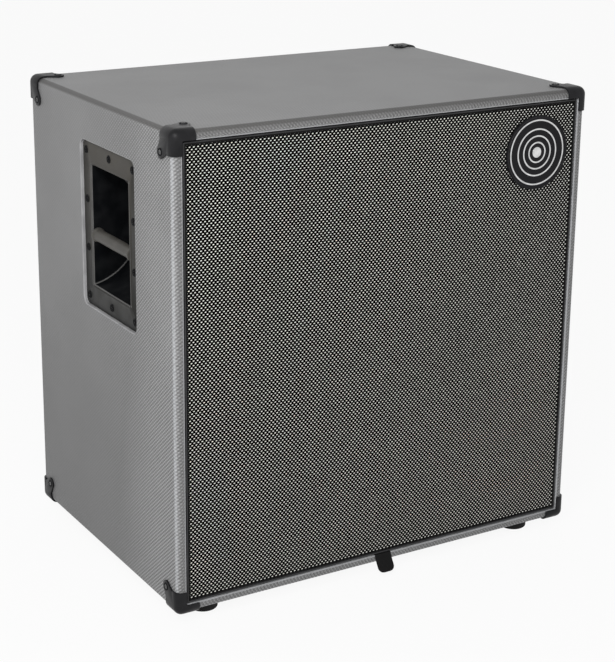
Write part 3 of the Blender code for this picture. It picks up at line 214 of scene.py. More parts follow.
# Woofers, with depths measured back from the baffle's front face
WOOFERS = ("upper_left", "upper_right", "lower_left", "lower_right")
FLANGE_WIDTH = 0.013
FLANGE_PROUD = 0.006
FLANGE_STEP_WIDTH = 0.0095
FLANGE_STEP_PROUD = 0.003
GASKET_THICKNESS = 0.0025
BASKET_WALL = 0.004
BASKET_STRAIGHT = 0.014
BASKET_DEPTH = 0.082
BASKET_FLOOR = 0.0035
BASKET_REAR_RADIUS = 0.066
BASKET_REAR_HEIGHT = 0.020
BASKET_WELL_RADIUS = 0.052
BASKET_FLOOR_HOLE = 0.030
SPOKE_COUNT = 6
SPOKE_ANGLE = 20
WINDOW_FROM = 0.018
WINDOW_TO = 0.053
COIL_RADIUS = 0.0250
COIL_WALL = 0.0014
COIL_OVERLAP = 0.011
COIL_RUNNING_GAP = 0.0007
COIL_WINDING = 0.0003
PLATE_RADIUS = 0.062
PLATE_THICKNESS = 0.008
MAGNET_RADIUS = 0.070
MAGNET_THICKNESS = 0.020
POLE_VENT_RADIUS = 0.009
CONE_EDGE_WIDTH = 0.007
CONE_EDGE_DEPTH = 0.006
CONE_NECK_DEPTH = 0.046
CONE_THICKNESS = 0.0013
CONE_FLARE = 0.003
DUST_CAP_RADIUS = 0.038
DUST_CAP_RISE = 0.012
SURROUND_THICKNESS = 0.0011
SURROUND_FOLD_HEIGHT = 0.0022
SPIDER_THICKNESS = 0.0010
SPIDER_FOLD_COUNT = 5
SPIDER_FOLD_HEIGHT = 0.0010
SPIDER_CUP = 0.006
SPIDER_LIP = 0.006
LEDGE_RISE = 0.002
LEDGE_INSET = 0.003
LEDGE_DEPTH = BASKET_DEPTH - BASKET_REAR_HEIGHT - LEDGE_RISE
LEDGE_RADIUS = BASKET_REAR_RADIUS - LEDGE_INSET

BASKET_LOW, BASKET_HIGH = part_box("basket_upper_left")
FLANGE_RADIUS = (BASKET_HIGH.x - BASKET_LOW.x) / 2
FLANGE_STEP_RADIUS = FLANGE_RADIUS - FLANGE_STEP_WIDTH
BASKET_RADIUS = FLANGE_RADIUS - FLANGE_WIDTH
CONE_LOW, CONE_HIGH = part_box("cone_upper_left")
CONE_EDGE_RADIUS = (CONE_HIGH.x - CONE_LOW.x) / 2
CONE_INNER_EDGE = CONE_EDGE_RADIUS - CONE_EDGE_WIDTH
CONE_NECK_RADIUS = COIL_RADIUS + COIL_WALL
COIL_END = BASKET_DEPTH + SEAT + COIL_OVERLAP
COIL_WINDING_FROM = COIL_END - 0.016
COIL_WINDING_TO = COIL_END - 0.001
WOOFER_SCREW_COUNT = 8
WOOFER_SCREW_RADIUS = 0.0036

# Horn, its driver and the ports
HORN_LOW, HORN_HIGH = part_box("horn")
HORN_FLANGE_WIDTH = 0.012
HORN_FLANGE_THICKNESS = 0.004
HORN_THROAT_RADIUS = 0.0125
HORN_DEPTH = 0.050
HORN_WALL = 0.003
HORN_FLANGE_RADIUS = (HORN_HIGH.x - HORN_LOW.x) / 2
HORN_MOUTH_RADIUS = HORN_FLANGE_RADIUS - HORN_FLANGE_WIDTH
HORN_LIP = 0.0012
HORN_LIP_DEPTH = 0.0015
HORN_SCREW_COUNT = 4
HORN_SCREW_RADIUS = 0.0034
HORN_REAR_FLANGE_RADIUS = 0.030
HORN_REAR_FLANGE_THICKNESS = 0.005
TWEETER_RADIUS = 0.043
TWEETER_LENGTH = 0.042
TWEETER_CAP_RADIUS = 0.034
TWEETER_CAP_LENGTH = 0.012
PORT_WALL = 0.0025
PORT_FLANGE_WIDTH = 0.002
PORT_FLANGE_THICKNESS = 0.003
PORT_FLARE = 0.004
PORT_LENGTH = 0.110

# Grille
GRILLE_LOW, GRILLE_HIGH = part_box("grille_frame")
GRILLE_HALF_WIDTH = (GRILLE_HIGH.x - GRILLE_LOW.x) / 2
GRILLE_HALF_HEIGHT = (GRILLE_HIGH.z - GRILLE_LOW.z) / 2
GRILLE_FRAME_WIDTH = 0.022
GRILLE_CORNER = 0.0025
BAND_DROP = 0.0008
BEAD_RADIUS = 0.0009
BEAD_INSET = 0.0010
CLOTH_LOW, CLOTH_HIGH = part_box("grille_cloth")
DOT_CELL_WIDTH = 0.00545
DOT_CELL_HEIGHT = 0.00579
DOT_LENGTH = 0.00122
DOT_WIDTH = 0.00071
DOT_JITTER = 0.015
DOT_TILT = (radians(-22), radians(-12))
DOT_SIZE = (0.98, 1.03)
DOT_SHADE = (0.81, 0.94)
DOT_EDGE = (0.80, 1.06, 1.0, 0.0)
DOT_COLOUR = (0.96, 0.96, 0.90)
BADGE_RINGS = (0.0432, 0.0315, 0.0225, 0.0140)
BADGE_RING_WIDTH = 0.0020
BADGE_RING_PROUD = 0.0004
BADGE_SUNK = 0.0008
BADGE_STEPS = 96
TAB_LOW, TAB_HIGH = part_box("grille_pull_tab")
TAB_THICKNESS = 0.0010
TAB_FLARE = 0.0045
TAB_VISUAL_FLARE = 0.0120
TAB_SHORTER = 0.0035
TAB_END_RADIUS = 0.0075
TAB_BEND_RADIUS = 0.0015

# Rear dish, with its sockets and its control
DISH_LOW, DISH_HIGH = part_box("input_dish")
DISH_Z = (DISH_LOW.z + DISH_HIGH.z) / 2
DISH_RIM_WIDTH = 0.011
DISH_RIM_HEIGHT = 0.012
DISH_FLANGE = 0.002
DISH_WALL = 0.002
DISH_FLOOR_Y = DISH_LOW.y + DISH_WALL
DISH_HALF_WIDTH = 0.062
DISH_HALF_HEIGHT = 0.036
DISH_SCREW_INSET = 0.0058
DISH_SCREW_RADIUS = 0.0031
SOCKET_OFFSET = 0.042
SOCKET_HOLE = 0.0128
CONTROL_HOLE = 0.0048
SOCKET_KEY_RADIUS = 0.0100
SOCKET_KEY_ANGLES = (40, 160, 280)
SOCKET_SCREW_RADIUS = 0.0022
SOCKET_SCREW_X = 0.0190
SOCKET_SCREW_Z = 0.0125
KNOB_STEPS = 96
KNOB_FLUTES = 16
KNOB_FLUTE_SHARE = 0.035
DIAL_RADIUS = 0.0125
DIAL_SWEEP = 150
DIAL_STEPS = 10
TICK_HALF_WIDTH = 0.0002
TICK_HEIGHT = 0.00012
NUMERAL_SIZE = 0.0042
NUMERAL_REACH = 0.0062

# Wadding
LINING_SOFT = 0.008
LINING_TUFTS = 5
LINING_TUFT_DEPTH = 0.006
LINING_CELLS = 60
LINING_MARGIN = 0.008

# Facets
ROUND_STEPS = 72
CORNER_STEPS = 8
SCOOP_STEPS = 44


# Node materials


def grey(level):
    """A neutral colour."""
    return (level, level, level)


class Nodes:
    """Short calls that add nodes to a tree."""

    def __init__(self, tree):
        self.tree = tree

    def put(self, socket, value):
        """Gives a socket a value or a link."""
        if isinstance(value, bpy.types.NodeSocket):
            self.tree.links.new(value, socket)
        else:
            socket.default_value = value

    def node(self, kind, *values, **settings):
        """A node with its first inputs filled in."""
        made = self.tree.nodes.new("ShaderNode" + kind)
        for key, value in settings.items():
            setattr(made, key, value)
        for socket, value in zip(made.inputs, values):
            self.put(socket, value)
        return made

    def math(self, operation, *values):
        return self.node("Math", *values, operation=operation).outputs[0]

    def times(self, product, *others):
        """The product of several values."""
        for other in others:
            product = self.math("MULTIPLY", product, other)
        return product

    def vector(self, operation, *values):
        made = self.node("VectorMath", *values, operation=operation)
        scalar = operation in ("LENGTH", "DISTANCE", "DOT_PRODUCT")
        return made.outputs["Value" if scalar else "Vector"]

    def place(self, kind="Object"):
        return self.node("TexCoord").outputs[kind]

    def parts(self, vector):
        """The three coordinates of a vector."""
        return self.node("SeparateXYZ", vector).outputs

    def remap(self, value, low, high, to_low=0.0, to_high=1.0, smooth=True):
        made = self.node("MapRange", value, low, high, to_low, to_high)
        made.interpolation_type = "SMOOTHSTEP" if smooth else "LINEAR"
        return made.outputs[0]

    def direct_rays(self):
        """1 for what is seen directly, in a gloss or through glass, and 0 for what only lights."""
        rays = self.node("LightPath").outputs
        direct = self.math("MAXIMUM", rays["Is Camera Ray"], rays["Is Glossy Ray"])
        return self.math("MAXIMUM", direct, rays["Is Transmission Ray"])

    def show(self, factor, lit, plain, output):
        """Mixes a plain shader into the lit one by a factor, as the tree's surface."""
        mixed = self.node("MixShader", factor, lit.outputs[0], plain.outputs[0])
        self.put(self.tree.nodes[output].inputs["Surface"], mixed.outputs[0])


class Finish(Nodes):
    """One Principled material."""

    def __init__(self, name, colour, roughness, metallic=0.0, specular=0.5):
        self.material = bpy.data.materials.new(name)
        self.material.use_nodes = True
        super().__init__(self.material.node_tree)
        self.shader = self.tree.nodes["Principled BSDF"]
        self.set("Base Color", (*colour, 1.0))
        self.set("Roughness", roughness)
        self.set("Metallic", metallic)
        self.set("Specular IOR Level", specular)

    def set(self, socket, value):
        """Gives one of the shader's sockets a value or a link."""
        self.put(self.shader.inputs[socket], value)

    def noise(self, vector, scale, detail=2.0, roughness=0.5):
        return self.node("TexNoise", vector, 0.0, scale, detail, roughness).outputs["Fac"]

    def mix(self, factor, first, second):
        """A colour between two others."""
        made = self.node("Mix", data_type="RGBA")
        self.put(made.inputs[0], factor)
        for index, colour in ((6, first), (7, second)):
            if not isinstance(colour, bpy.types.NodeSocket):
                colour = (*colour, 1.0)
            self.put(made.inputs[index], colour)
        return made.outputs[2]

    def wave(self, value, pitch, phase=0.0):
        """A sine from 0 to 1 over a length."""
        angle = self.math("MULTIPLY_ADD", value, 2 * pi / pitch, phase)
        return self.math("MULTIPLY_ADD", self.math("SINE", angle), 0.5, 0.5)

    def from_axis(self):
        """The distance from the object's own Y axis."""
        x, _, z = self.parts(self.place())
        return self.vector("LENGTH", self.node("CombineXYZ", x, z, 0.0).outputs[0])

    def built(self, colour, roughness, height, distance, strength):
        """The material with its colour, roughness and relief. None leaves one as it was."""
        if colour is not None:
            self.set("Base Color", colour)
        if roughness is not None:
            self.set("Roughness", roughness)
        made = self.node("Bump")
        self.put(made.inputs["Strength"], strength)
        self.put(made.inputs["Distance"], distance)
        self.put(made.inputs["Height"], height)
        self.set("Normal", made.outputs[0])
        return self.material


def vinyl_weave(made, flat):
    """The height of the diagonal weave. Flat pieces have no UV map, and there it doesn't fade."""
    if flat:
        around, _, along = made.parts(made.place())
    else:
        around, along, _ = made.parts(made.place("UV"))
    level, steep = cos(WEAVE_ANGLE), sin(WEAVE_ANGLE)
    across = made.math("SUBTRACT", made.times(around, level), made.times(along, steep))
    down = made.math("ADD", made.times(around, steep), made.times(along, level))
    nub = made.wave(made.math("MULTIPLY_ADD", across, WEAVE_CROSS_SLANT, down), WEAVE_CROSS_PITCH)
    nub = made.math("MULTIPLY_ADD", nub, WEAVE_NUB_SHARE, 1 - WEAVE_NUB_SHARE)
    weave = made.times(made.wave(across, WEAVE_PITCH), nub)
    if flat:
        return weave
    spot = made.place()
    _, y, z = made.parts(spot)
    uneven = made.remap(made.noise(spot, 420.0), *WEAVE_UNEVEN)
    relief = made.times(made.remap(y, *WEAVE_TO_REAR), made.remap(z, *WEAVE_TO_TOP), uneven)
    return made.math("MULTIPLY_ADD", made.math("SUBTRACT", weave, WEAVE_MEAN), relief, WEAVE_MEAN)


def vinyl_wear(made, weave, tone):
    """The vinyl's colour by place and direction, with painted light and shade, and painted highlights on its
    front edges.
    """
    spot = made.place()
    x, y, z = made.parts(spot)
    _, normal_y, normal_z = made.parts(made.place("Normal"))
    forward = made.times(normal_y, -1.0)
    # Painted light and shade: lighter near the front except on the top, lighter upward, darker low and at the
    # rear.
    near_front = made.times(made.remap(y, *PAINTED_LIGHT_TO_REAR), made.remap(normal_z, *PAINTED_LIGHT_OFF_TOP))
    painted_light_level = made.math("MAXIMUM", made.remap(z, *PAINTED_LIGHT_UPWARD), near_front)
    # Painted shade on the front-facing rim, fading out towards the top.
    rim = made.times(made.remap(forward, *SHADED_RIM), made.remap(z, *SHADED_RIM_UP))
    tone = made.times(tone, painted_light_level, made.math("SUBTRACT", 1.0, rim))
    colour = made.mix(tone, VINYL_DARK, VINYL_LIGHT)
    # Painted shade along the top round-overs, and on the front rim just below the top.
    edge = made.times(made.remap(normal_z, *EDGE_SHADE_FROM), made.remap(normal_z, *EDGE_SHADE_TO))
    rim = made.times(made.remap(forward, *TOP_RIM_SHADE), made.remap(z, *TOP_RIM_SHADE_UP))
    colour = made.mix(made.math("MAXIMUM", edge, rim), colour, VINYL_PAINTED_SHADE)
    # Painted highlight on the vertical front round-overs, uneven with the weave and noise.
    painted_highlight = made.times(
        made.remap(forward, *HIGHLIGHT_FROM),
        made.remap(forward, *HIGHLIGHT_TO),
        made.remap(normal_z, *HIGHLIGHT_LEVEL),
        made.remap(z, *HIGHLIGHT_UP),
        made.math("MULTIPLY_ADD", weave, 0.5, 0.75),
        made.remap(made.noise(spot, 520.0), *HIGHLIGHT_UNEVEN),
    )
    # Painted highlight along the rim's inner edge, where the vinyl turns into the grille opening.
    out_x = made.math("SUBTRACT", made.math("ABSOLUTE", x), SIDE_X - RIM_WIDTH)
    out_z = made.math("ABSOLUTE", made.math("SUBTRACT", z, MIDDLE_Z))
    out_z = made.math("SUBTRACT", out_z, HALF_HEIGHT - RIM_WIDTH)
    fold = made.remap(made.math("MAXIMUM", out_x, out_z), *FOLD_ACROSS)
    fold = made.times(fold, made.remap(y, *FOLD_BACK))
    return made.mix(made.math("MAXIMUM", painted_highlight, fold), colour, VINYL_HIGHLIGHT)


def vinyl_finish(name, flat=False):
    """Grey vinyl with a fine diagonal weave pressed into it. Unless it is flat, painted light, shade and
    highlights are added by place and direction.
    """
    made = Finish(name, VINYL_LIGHT, 0.5, specular=0.36)
    weave = vinyl_weave(made, flat)
    spot = made.place()
    patches = made.remap(made.noise(spot, 9.0, 3.0), *VINYL_PATCHES)
    # The weave's height also darkens the colour in its grooves: painted shade.
    tone = made.math("ADD", made.times(weave, 0.9), patches)
    colour = made.mix(tone, VINYL_DARK, VINYL_LIGHT) if flat else vinyl_wear(made, weave, tone)
    height = made.math("MULTIPLY_ADD", made.noise(spot, 2600.0), 0.22, weave)
    return made.built(colour, made.remap(weave, 0.0, 1.0, 0.60, 0.48), height, 0.00045, 0.9)


def plastic_finish(name, colour, roughness=0.45, grain=1500.0, depth=0.00005, specular=0.5):
    """Moulded plastic with a spark-eroded grain and slightly uneven gloss."""
    made = Finish(name, colour, roughness, specular=specular)
    spot = made.place()
    cloud = made.noise(spot, 40.0, 3.0)
    lighter = tuple(min(1.0, part * 1.35 + 0.004) for part in colour)
    shade = made.mix(made.remap(cloud, 0.35, 0.7), colour, lighter)
    gloss = made.remap(cloud, 0.3, 0.7, roughness - 0.06, roughness + 0.08)
    return made.built(shade, gloss, made.noise(spot, grain), depth, 0.8)


def metal_finish(name, colour, roughness, metallic=1.0, grain=900.0, depth=0.00001, specular=0.5):
    """Metal with fine uneven gloss, such as plated steel or powder-coated sheet."""
    made = Finish(name, colour, roughness, metallic, specular)
    spot = made.place()
    smudge = made.noise(spot, 120.0, 4.0, 0.6)
    darker = tuple(part * 0.72 for part in colour)
    shade = made.mix(made.remap(smudge, 0.3, 0.75), darker, colour)
    gloss = made.remap(smudge, 0.25, 0.75, roughness + 0.08, roughness - 0.05)
    return made.built(shade, gloss, made.noise(spot, grain), depth, 0.7)


def handle_finish():
    """Moulded black plastic with painted light: paler towards the top of the frame, with painted shade at its
    ends.
    """
    made = Finish("handle_plastic", (0.050, 0.046, 0.040), 0.38, specular=0.10)
    spot = made.place()
    _, y, z = made.parts(spot)
    cloud = made.noise(spot, 40.0, 3.0)
    off_centre = made.math("ABSOLUTE", made.math("SUBTRACT", y, HANDLE_Y))
    # Painted light: this factor is lighter upward and darker at the frame's ends, uneven by noise.
    dust = made.times(
        made.remap(z, HANDLE_LOW.z, HANDLE_HIGH.z, 0.04, 1.0, smooth=False),
        made.remap(off_centre, 0.058, 0.066, 1.0, 0.55),
        made.remap(cloud, 0.3, 0.7, 0.85, 1.0),
    )
    colour = made.mix(dust, (0.009, 0.0095, 0.009), (0.066, 0.061, 0.053))
    gloss = made.remap(cloud, 0.3, 0.7, 0.34, 0.46)
    return made.built(colour, gloss, made.noise(spot, 1500.0), 0.00005, 0.8)


def wood_finish(name, light, dark, painted_to):
    """Plywood with long grain. In front of painted_to it is painted black."""
    made = Finish(name, light, 0.65, specular=0.3)
    spot = made.place()
    grain = made.noise(made.vector("MULTIPLY", spot, (90.0, 6.0, 14.0)), 1.0, 6.0, 0.65)
    pores = made.noise(made.vector("MULTIPLY", spot, (900.0, 60.0, 140.0)), 1.0)
    colour = made.mix(made.remap(grain, 0.3, 0.7), dark, light)
    paint = made.remap(made.parts(spot)[1], painted_to, painted_to + 0.002)
    colour = made.mix(paint, grey(0.012), colour)
    height = made.math("ADD", grain, made.times(pores, 0.5))
    return made.built(colour, made.remap(grain, 0.3, 0.8, 0.55, 0.8), height, 0.0002, 0.6)


def painted_wood_finish():
    """Board under a thick black textured paint."""
    made = Finish("paint_black", grey(0.008), 0.6, specular=0.08)
    spot = made.place()
    speckle = made.noise(spot, 700.0, 3.0, 0.6)
    wash = made.remap(made.noise(spot, 25.0, 3.0), 0.3, 0.7)
    colour = made.mix(wash, grey(0.004), grey(0.010))
    return made.built(colour, made.remap(speckle, 0.3, 0.7, 0.5, 0.75), speckle, 0.00025, 0.8)


def cloth_dots(made, flat, shift):
    """One of the two lattices of slubs: where they stand, and how bright each of them is."""
    moved = made.vector("ADD", flat, (shift, shift, 0.0))
    seed = made.vector("ADD", made.vector("FLOOR", moved), (shift * 31.7, 0.0, 3.1))
    dice = made.node("TexWhiteNoise", seed, noise_dimensions="3D").outputs["Color"]
    tilt_dice, size_dice, shade_dice = made.parts(dice)
    middle = made.vector("SUBTRACT", made.vector("FRACTION", moved), (0.5, 0.5, 0.0))
    jitter = made.vector("SCALE", made.vector("SUBTRACT", dice, (0.5, 0.5, 0.5)))
    jitter.node.inputs["Scale"].default_value = DOT_JITTER
    cell = (DOT_CELL_WIDTH, DOT_CELL_HEIGHT, 0.0)
    turned_dot = made.node("VectorRotate", rotation_type="Z_AXIS")
    made.put(turned_dot.inputs[0], made.vector("MULTIPLY", made.vector("ADD", middle, jitter), cell))
    made.put(turned_dot.inputs["Angle"], made.remap(tilt_dice, 0.0, 1.0, *DOT_TILT, smooth=False))
    stretch = (1 / DOT_LENGTH, 1 / DOT_WIDTH, 1.0)
    distance = made.vector("LENGTH", made.vector("MULTIPLY", turned_dot.outputs[0], stretch))
    size = made.remap(size_dice, 0.0, 1.0, *DOT_SIZE, smooth=False)
    dome = made.remap(made.math("DIVIDE", distance, size), *DOT_EDGE)
    return dome, made.times(dome, made.remap(shade_dice, 0.0, 1.0, *DOT_SHADE, smooth=False))


def grille_cloth_finish():
    """Black open cloth with silver slubs on a centred lattice, each a little unlike the next."""
    made = Finish("grille_cloth_black_silver", grey(0.02), 0.7, specular=0.05)
    x, _, z = made.parts(made.place())
    across = made.math("DIVIDE", x, DOT_CELL_WIDTH)
    up = made.math("DIVIDE", z, DOT_CELL_HEIGHT)
    flat = made.node("CombineXYZ", across, up, 0.0).outputs[0]
    first, second = [cloth_dots(made, flat, shift) for shift in (0.0, 0.5)]
    dots, bright = [made.math("MAXIMUM", a, b) for a, b in zip(first, second)]
    slants = [made.math(way, across, up) for way in ("ADD", "SUBTRACT")]
    threads = made.times(*[made.wave(slant, 0.5, pi / 2) for slant in slants])
    base = made.mix(threads, grey(0.0004), (0.0050, 0.0050, 0.0045))
    gloss = made.remap(dots, 0.0, 1.0, 0.85, 0.42)
    height = made.math("MULTIPLY_ADD", threads, 0.25, dots)
    return made.built(made.mix(bright, base, DOT_COLOUR), gloss, height, 0.00035, 0.7)


def webbing_finish():
    """Black woven strap, ribbed across its width."""
    made = Finish("webbing_black", grey(0.012), 0.75, specular=0.12)
    x, _, z = made.parts(made.place())
    yarns = made.math("MULTIPLY_ADD", made.wave(x, 0.0016), 0.5, 0.5)
    weave = made.times(made.wave(z, 0.0013), yarns)
    colour = made.mix(weave, grey(0.002), grey(0.012))
    return made.built(colour, None, weave, 0.0003, 0.9)


def paper_finish():
    """Black pressed pulp with fine fibres and shallow rings."""
    made = Finish("cone_paper_black", (0.022, 0.021, 0.020), 0.8, specular=0.25)
    fibres = made.noise(made.place(), 420.0, 5.0, 0.7)
    pale = made.remap(fibres, 0.35, 0.7)
    colour = made.mix(pale, (0.014, 0.0135, 0.013), (0.040, 0.038, 0.036))
    height = made.math("MULTIPLY_ADD", made.wave(made.from_axis(), 0.0085), 0.7, fibres)
    return made.built(colour, None, height, 0.0003, 0.7)


def woven_finish(name, light, dark, pitch):
    """Fine plain weave on a turned cloth ring, whose UV map holds a turn and metres."""
    made = Finish(name, light, 0.85, specular=0.25)
    turn, along, _ = made.parts(made.place("UV"))
    weft = made.wave(along, pitch)
    both = made.times(made.wave(turn, 1.0 / 420), weft)
    weave = made.math("MULTIPLY_ADD", both, 0.7, made.times(weft, 0.3))
    return made.built(made.mix(weave, dark, light), None, weave, 0.00015, 0.8)


def batting_finish():
    """Loose white polyester fibres."""
    made = Finish("polyester_batting", (0.7, 0.7, 0.68), 0.95, specular=0.1)
    fibres = made.noise(made.place(), 260.0, 6.0, 0.75)
    colour = made.mix(made.remap(fibres, 0.3, 0.7), (0.50, 0.50, 0.49), (0.78, 0.78, 0.76))
    return made.built(colour, None, fibres, 0.002, 0.9)


def badge_finish():
    """Black plastic disc with fine turned grooves."""
    made = Finish("badge_black", (0.007, 0.007, 0.008), 0.32, specular=0.12)
    grooves = made.wave(made.from_axis(), 0.0007)
    return made.built(None, made.remap(grooves, 0.0, 1.0, 0.28, 0.42), grooves, 0.00004, 0.8)


def board_finish():
    """Green lacquered board with its copper tracks under the lacquer."""
    made = Finish("circuit_board_green", (0.02, 0.10, 0.04), 0.35, specular=0.5)
    x, y, _ = made.parts(made.place())
    line = made.remap(made.times(made.wave(x, 0.012), made.wave(y, 0.009)), 0.48, 0.52)
    colour = made.mix(line, (0.015, 0.075, 0.03), (0.05, 0.17, 0.06))
    return made.built(colour, None, line, 0.00006, 0.8)


def make_finishes():
    """The materials by the name that the pieces use."""
    return {
        "vinyl": vinyl_finish("vinyl_grey"),
        "back": vinyl_finish("vinyl_grey_back", flat=True),
        "plywood": wood_finish("plywood_birch", (0.50, 0.36, 0.21), (0.34, 0.23, 0.12), BAFFLE_BACK_Y),
        "paint": painted_wood_finish(),
        "corner": plastic_finish("corner_plastic", (0.010, 0.010, 0.011), 0.34, specular=0.12),
        # Vinyl of the handle lips, coloured lighter than the shell as a painted highlight along the handle
        # openings.
        "fold": plastic_finish("vinyl_lip_painted_highlight", (0.27, 0.27, 0.275), 0.5, specular=0.36),
        "frame": handle_finish(),
        # Painted highlight for the lit edges round the handle openings.
        "painted_highlight": plastic_finish("handle_plastic_painted_highlight", (0.085, 0.084, 0.082), 0.4, specular=0.2),
        # Painted shade: near black for the scoop's inside and for the rings round screw heads.
        "scoop": plastic_finish("painted_shade_black", (0.0024, 0.0028, 0.0034), 0.55, specular=0.08),
        "grip": plastic_finish("grip_plastic", (0.062, 0.059, 0.053), 0.42, 900.0, 0.0001, 0.16),
        "black": plastic_finish("black_plastic", (0.011, 0.011, 0.012), 0.42, specular=0.16),
        "bead": plastic_finish("bead_vinyl", (0.022, 0.022, 0.023), 0.35, 1200.0, 0.00004, 0.3),
        "rubber": plastic_finish("foot_rubber", grey(0.014), 0.72, 800.0, 0.0001, 0.12),
        "screw": metal_finish("screw_black_zinc", (0.002, 0.002, 0.0024), 0.20, 0.0, specular=0.08),
        # Near white for the handle screws' cross recesses: a painted glint.
        "painted_glint": metal_finish("screw_recess_painted_glint", grey(0.90), 0.25, 0.0),
        "stud": metal_finish("screw_grey_zinc", grey(0.15), 0.30),
        "silver": metal_finish("badge_silver", grey(0.80), 0.32),
        "basket": metal_finish("basket_paint", (0.020, 0.020, 0.021), 0.45, 0.2, 700.0, 0.00005),
        "steel": metal_finish("plate_steel", (0.42, 0.40, 0.34), 0.38),
        "ferrite": metal_finish("ferrite_grey", (0.045, 0.045, 0.048), 0.6, 0.3, 500.0, 0.00008),
        "copper": metal_finish("coil_copper", (0.75, 0.35, 0.16), 0.35),
        "paper": paper_finish(),
        "surround": woven_finish("surround_cloth_black", grey(0.030), grey(0.010), 0.0008),
        "gasket": woven_finish("gasket_felt", grey(0.020), grey(0.008), 0.0006),
        "spider": woven_finish("spider_cloth_amber", (0.42, 0.24, 0.07), (0.22, 0.11, 0.03), 0.0009),
        "cloth": grille_cloth_finish(),
        "webbing": webbing_finish(),
        "badge": badge_finish(),
        "dish": metal_finish("dish_powder_coat", (0.022, 0.022, 0.023), 0.42, 0.1, 1100.0, 0.00009),
        "marks": plastic_finish("mark_white", (0.72, 0.72, 0.70), 0.5),
        "board": board_finish(),
        "batting": batting_finish(),
    }


# Shapes


def along_axis(axis, first, second, height):
    """A point from two coordinates across an axis and one along it."""
    return {
        "X": Vector((height, first, second)),
        "Y": Vector((first, height, second)),
        "Z": Vector((first, second, height)),
    }[axis]


def arc(centre, radius, start, end, steps):
    """Points on an arc, with the angles in degrees."""
    angles = [radians(start + (end - start) * i / steps) for i in range(steps + 1)]
    return [(centre[0] + radius * cos(a), centre[1] + radius * sin(a)) for a in angles]


def rounded_rectangle(half_a, half_b, radius, steps=CORNER_STEPS):
    """The outline of a rectangle with round corners, about the origin."""
    outline = []
    for sign_a, sign_b, start in ((1, 1, 0), (-1, 1, 90), (-1, -1, 180), (1, -1, 270)):
        centre = (sign_a * (half_a - radius), sign_b * (half_b - radius))
        outline += arc(centre, radius, start, start + 90, steps)
    return outline


def filleted(points, radius, steps=3, closed=True):
    """The same line with its corners rounded, each by as much as its two sides allow."""
    made = []
    last = len(points) - 1
    for i, point in enumerate(points):
        here = Vector(point)
        if not closed and i in (0, last):
            made.append(tuple(here))
            continue
        before = Vector(points[i - 1]) - here
        after = Vector(points[(i + 1) % len(points)]) - here
        reach = min(radius, before.length * 0.45, after.length * 0.45)
        if reach < 1e-6 or before.angle(after) > radians(172):
            made.append(tuple(here))
            continue
        start = here + before.normalized() * reach
        end = here + after.normalized() * reach
        for step in range(steps + 1):
            t = step / steps
            bend = start * (1 - t) ** 2 + here * 2 * t * (1 - t) + end * t**2
            made.append(tuple(bend))
    return made


def linked(name, data):
    """A new object in the scene."""
    obj = bpy.data.objects.new(name, data)
    bpy.context.scene.collection.objects.link(obj)
    return obj


def link_mesh(mesh_bm, name="piece"):
    """Closes a bmesh into a linked object whose faces point out."""
    bmesh.ops.recalc_face_normals(mesh_bm, faces=mesh_bm.faces)
    mesh = bpy.data.meshes.new(name)
    mesh_bm.to_mesh(mesh)
    mesh_bm.free()
    return linked(name, mesh)


def mesh_of(obj):
    """An object's mesh, with the object itself removed."""
    mesh = obj.data.copy()
    bpy.data.objects.remove(obj, do_unlink=True)
    return mesh


def ring_mesh(rings, closed, turn=None):
    """A skin over rings that have as many points each. Open ends are filled.

    The UV map holds metres round the longest ring and metres from ring to ring. With turn given,
    once round counts as turn instead.
    """
    count = len(rings[0])
    rings = [[Vector(point) for point in ring] for ring in rings]
    followers = rings[1:] + rings[:1]
    along = [0.0]
    for first, second in zip(rings, followers):
        along.append(along[-1] + max((a - b).length for a, b in zip(first, second)))
    lengths = [[(a - b).length for a, b in zip(ring, ring[1:] + ring[:1])] for ring in rings]
    longest = max(lengths, key=sum)
    around = [sum(longest[:j]) for j in range(count + 1)]
    if turn is not None:
        around = [turn * j / count for j in range(count + 1)]
    mesh_bm = bmesh.new()
    layer = mesh_bm.loops.layers.uv.new("UVMap")
    verts = [[mesh_bm.verts.new(point) for point in ring] for ring in rings]
    for i in range(len(rings) if closed else len(rings) - 1):
        first, second = verts[i], verts[(i + 1) % len(rings)]
        for j in range(count):
            k = (j + 1) % count
            face = mesh_bm.faces.new((first[j], first[k], second[k], second[j]))
            for loop, (a, b) in zip(face.loops, ((j, i), (j + 1, i), (j + 1, i + 1), (j, i + 1))):
                loop[layer].uv = (around[a], along[b])
    if not closed:
        mesh_bm.faces.new(verts[0])
        mesh_bm.faces.new(verts[-1])
    return link_mesh(mesh_bm)


def turned(profile, axis="Y", steps=ROUND_STEPS, closed=True):
    """A profile of (radius, height) points turned about an axis through the origin."""
    angles = [2 * pi * i / steps for i in range(steps)]
    rings = [[along_axis(axis, r * cos(a), r * sin(a), h) for a in angles] for r, h in profile]
    return ring_mesh(rings, closed, turn=1.0)


def solid_turned(profile, axis="Y", steps=ROUND_STEPS, fillet=0.0):
    """A turned piece whose first and last points lie at its axis, where small flats close it."""
    if fillet:
        profile = filleted(profile, fillet, closed=False)
    return turned([(max(r, LEAST_RADIUS), h) for r, h in profile], axis, steps, closed=False)


def prism(outline, axis, low, high):
    """An outline across an axis, drawn out from low to high along it."""
    rings = [[along_axis(axis, a, b, height) for a, b in outline] for height in (low, high)]
    return ring_mesh(rings, closed=False)


def ring_about(middle_z, half_a, half_b, radius, y, steps=CORNER_STEPS):
    """A rounded rectangle across the depth, about a height."""
    return [(a, y, middle_z + b) for a, b in rounded_rectangle(half_a, half_b, radius, steps)]


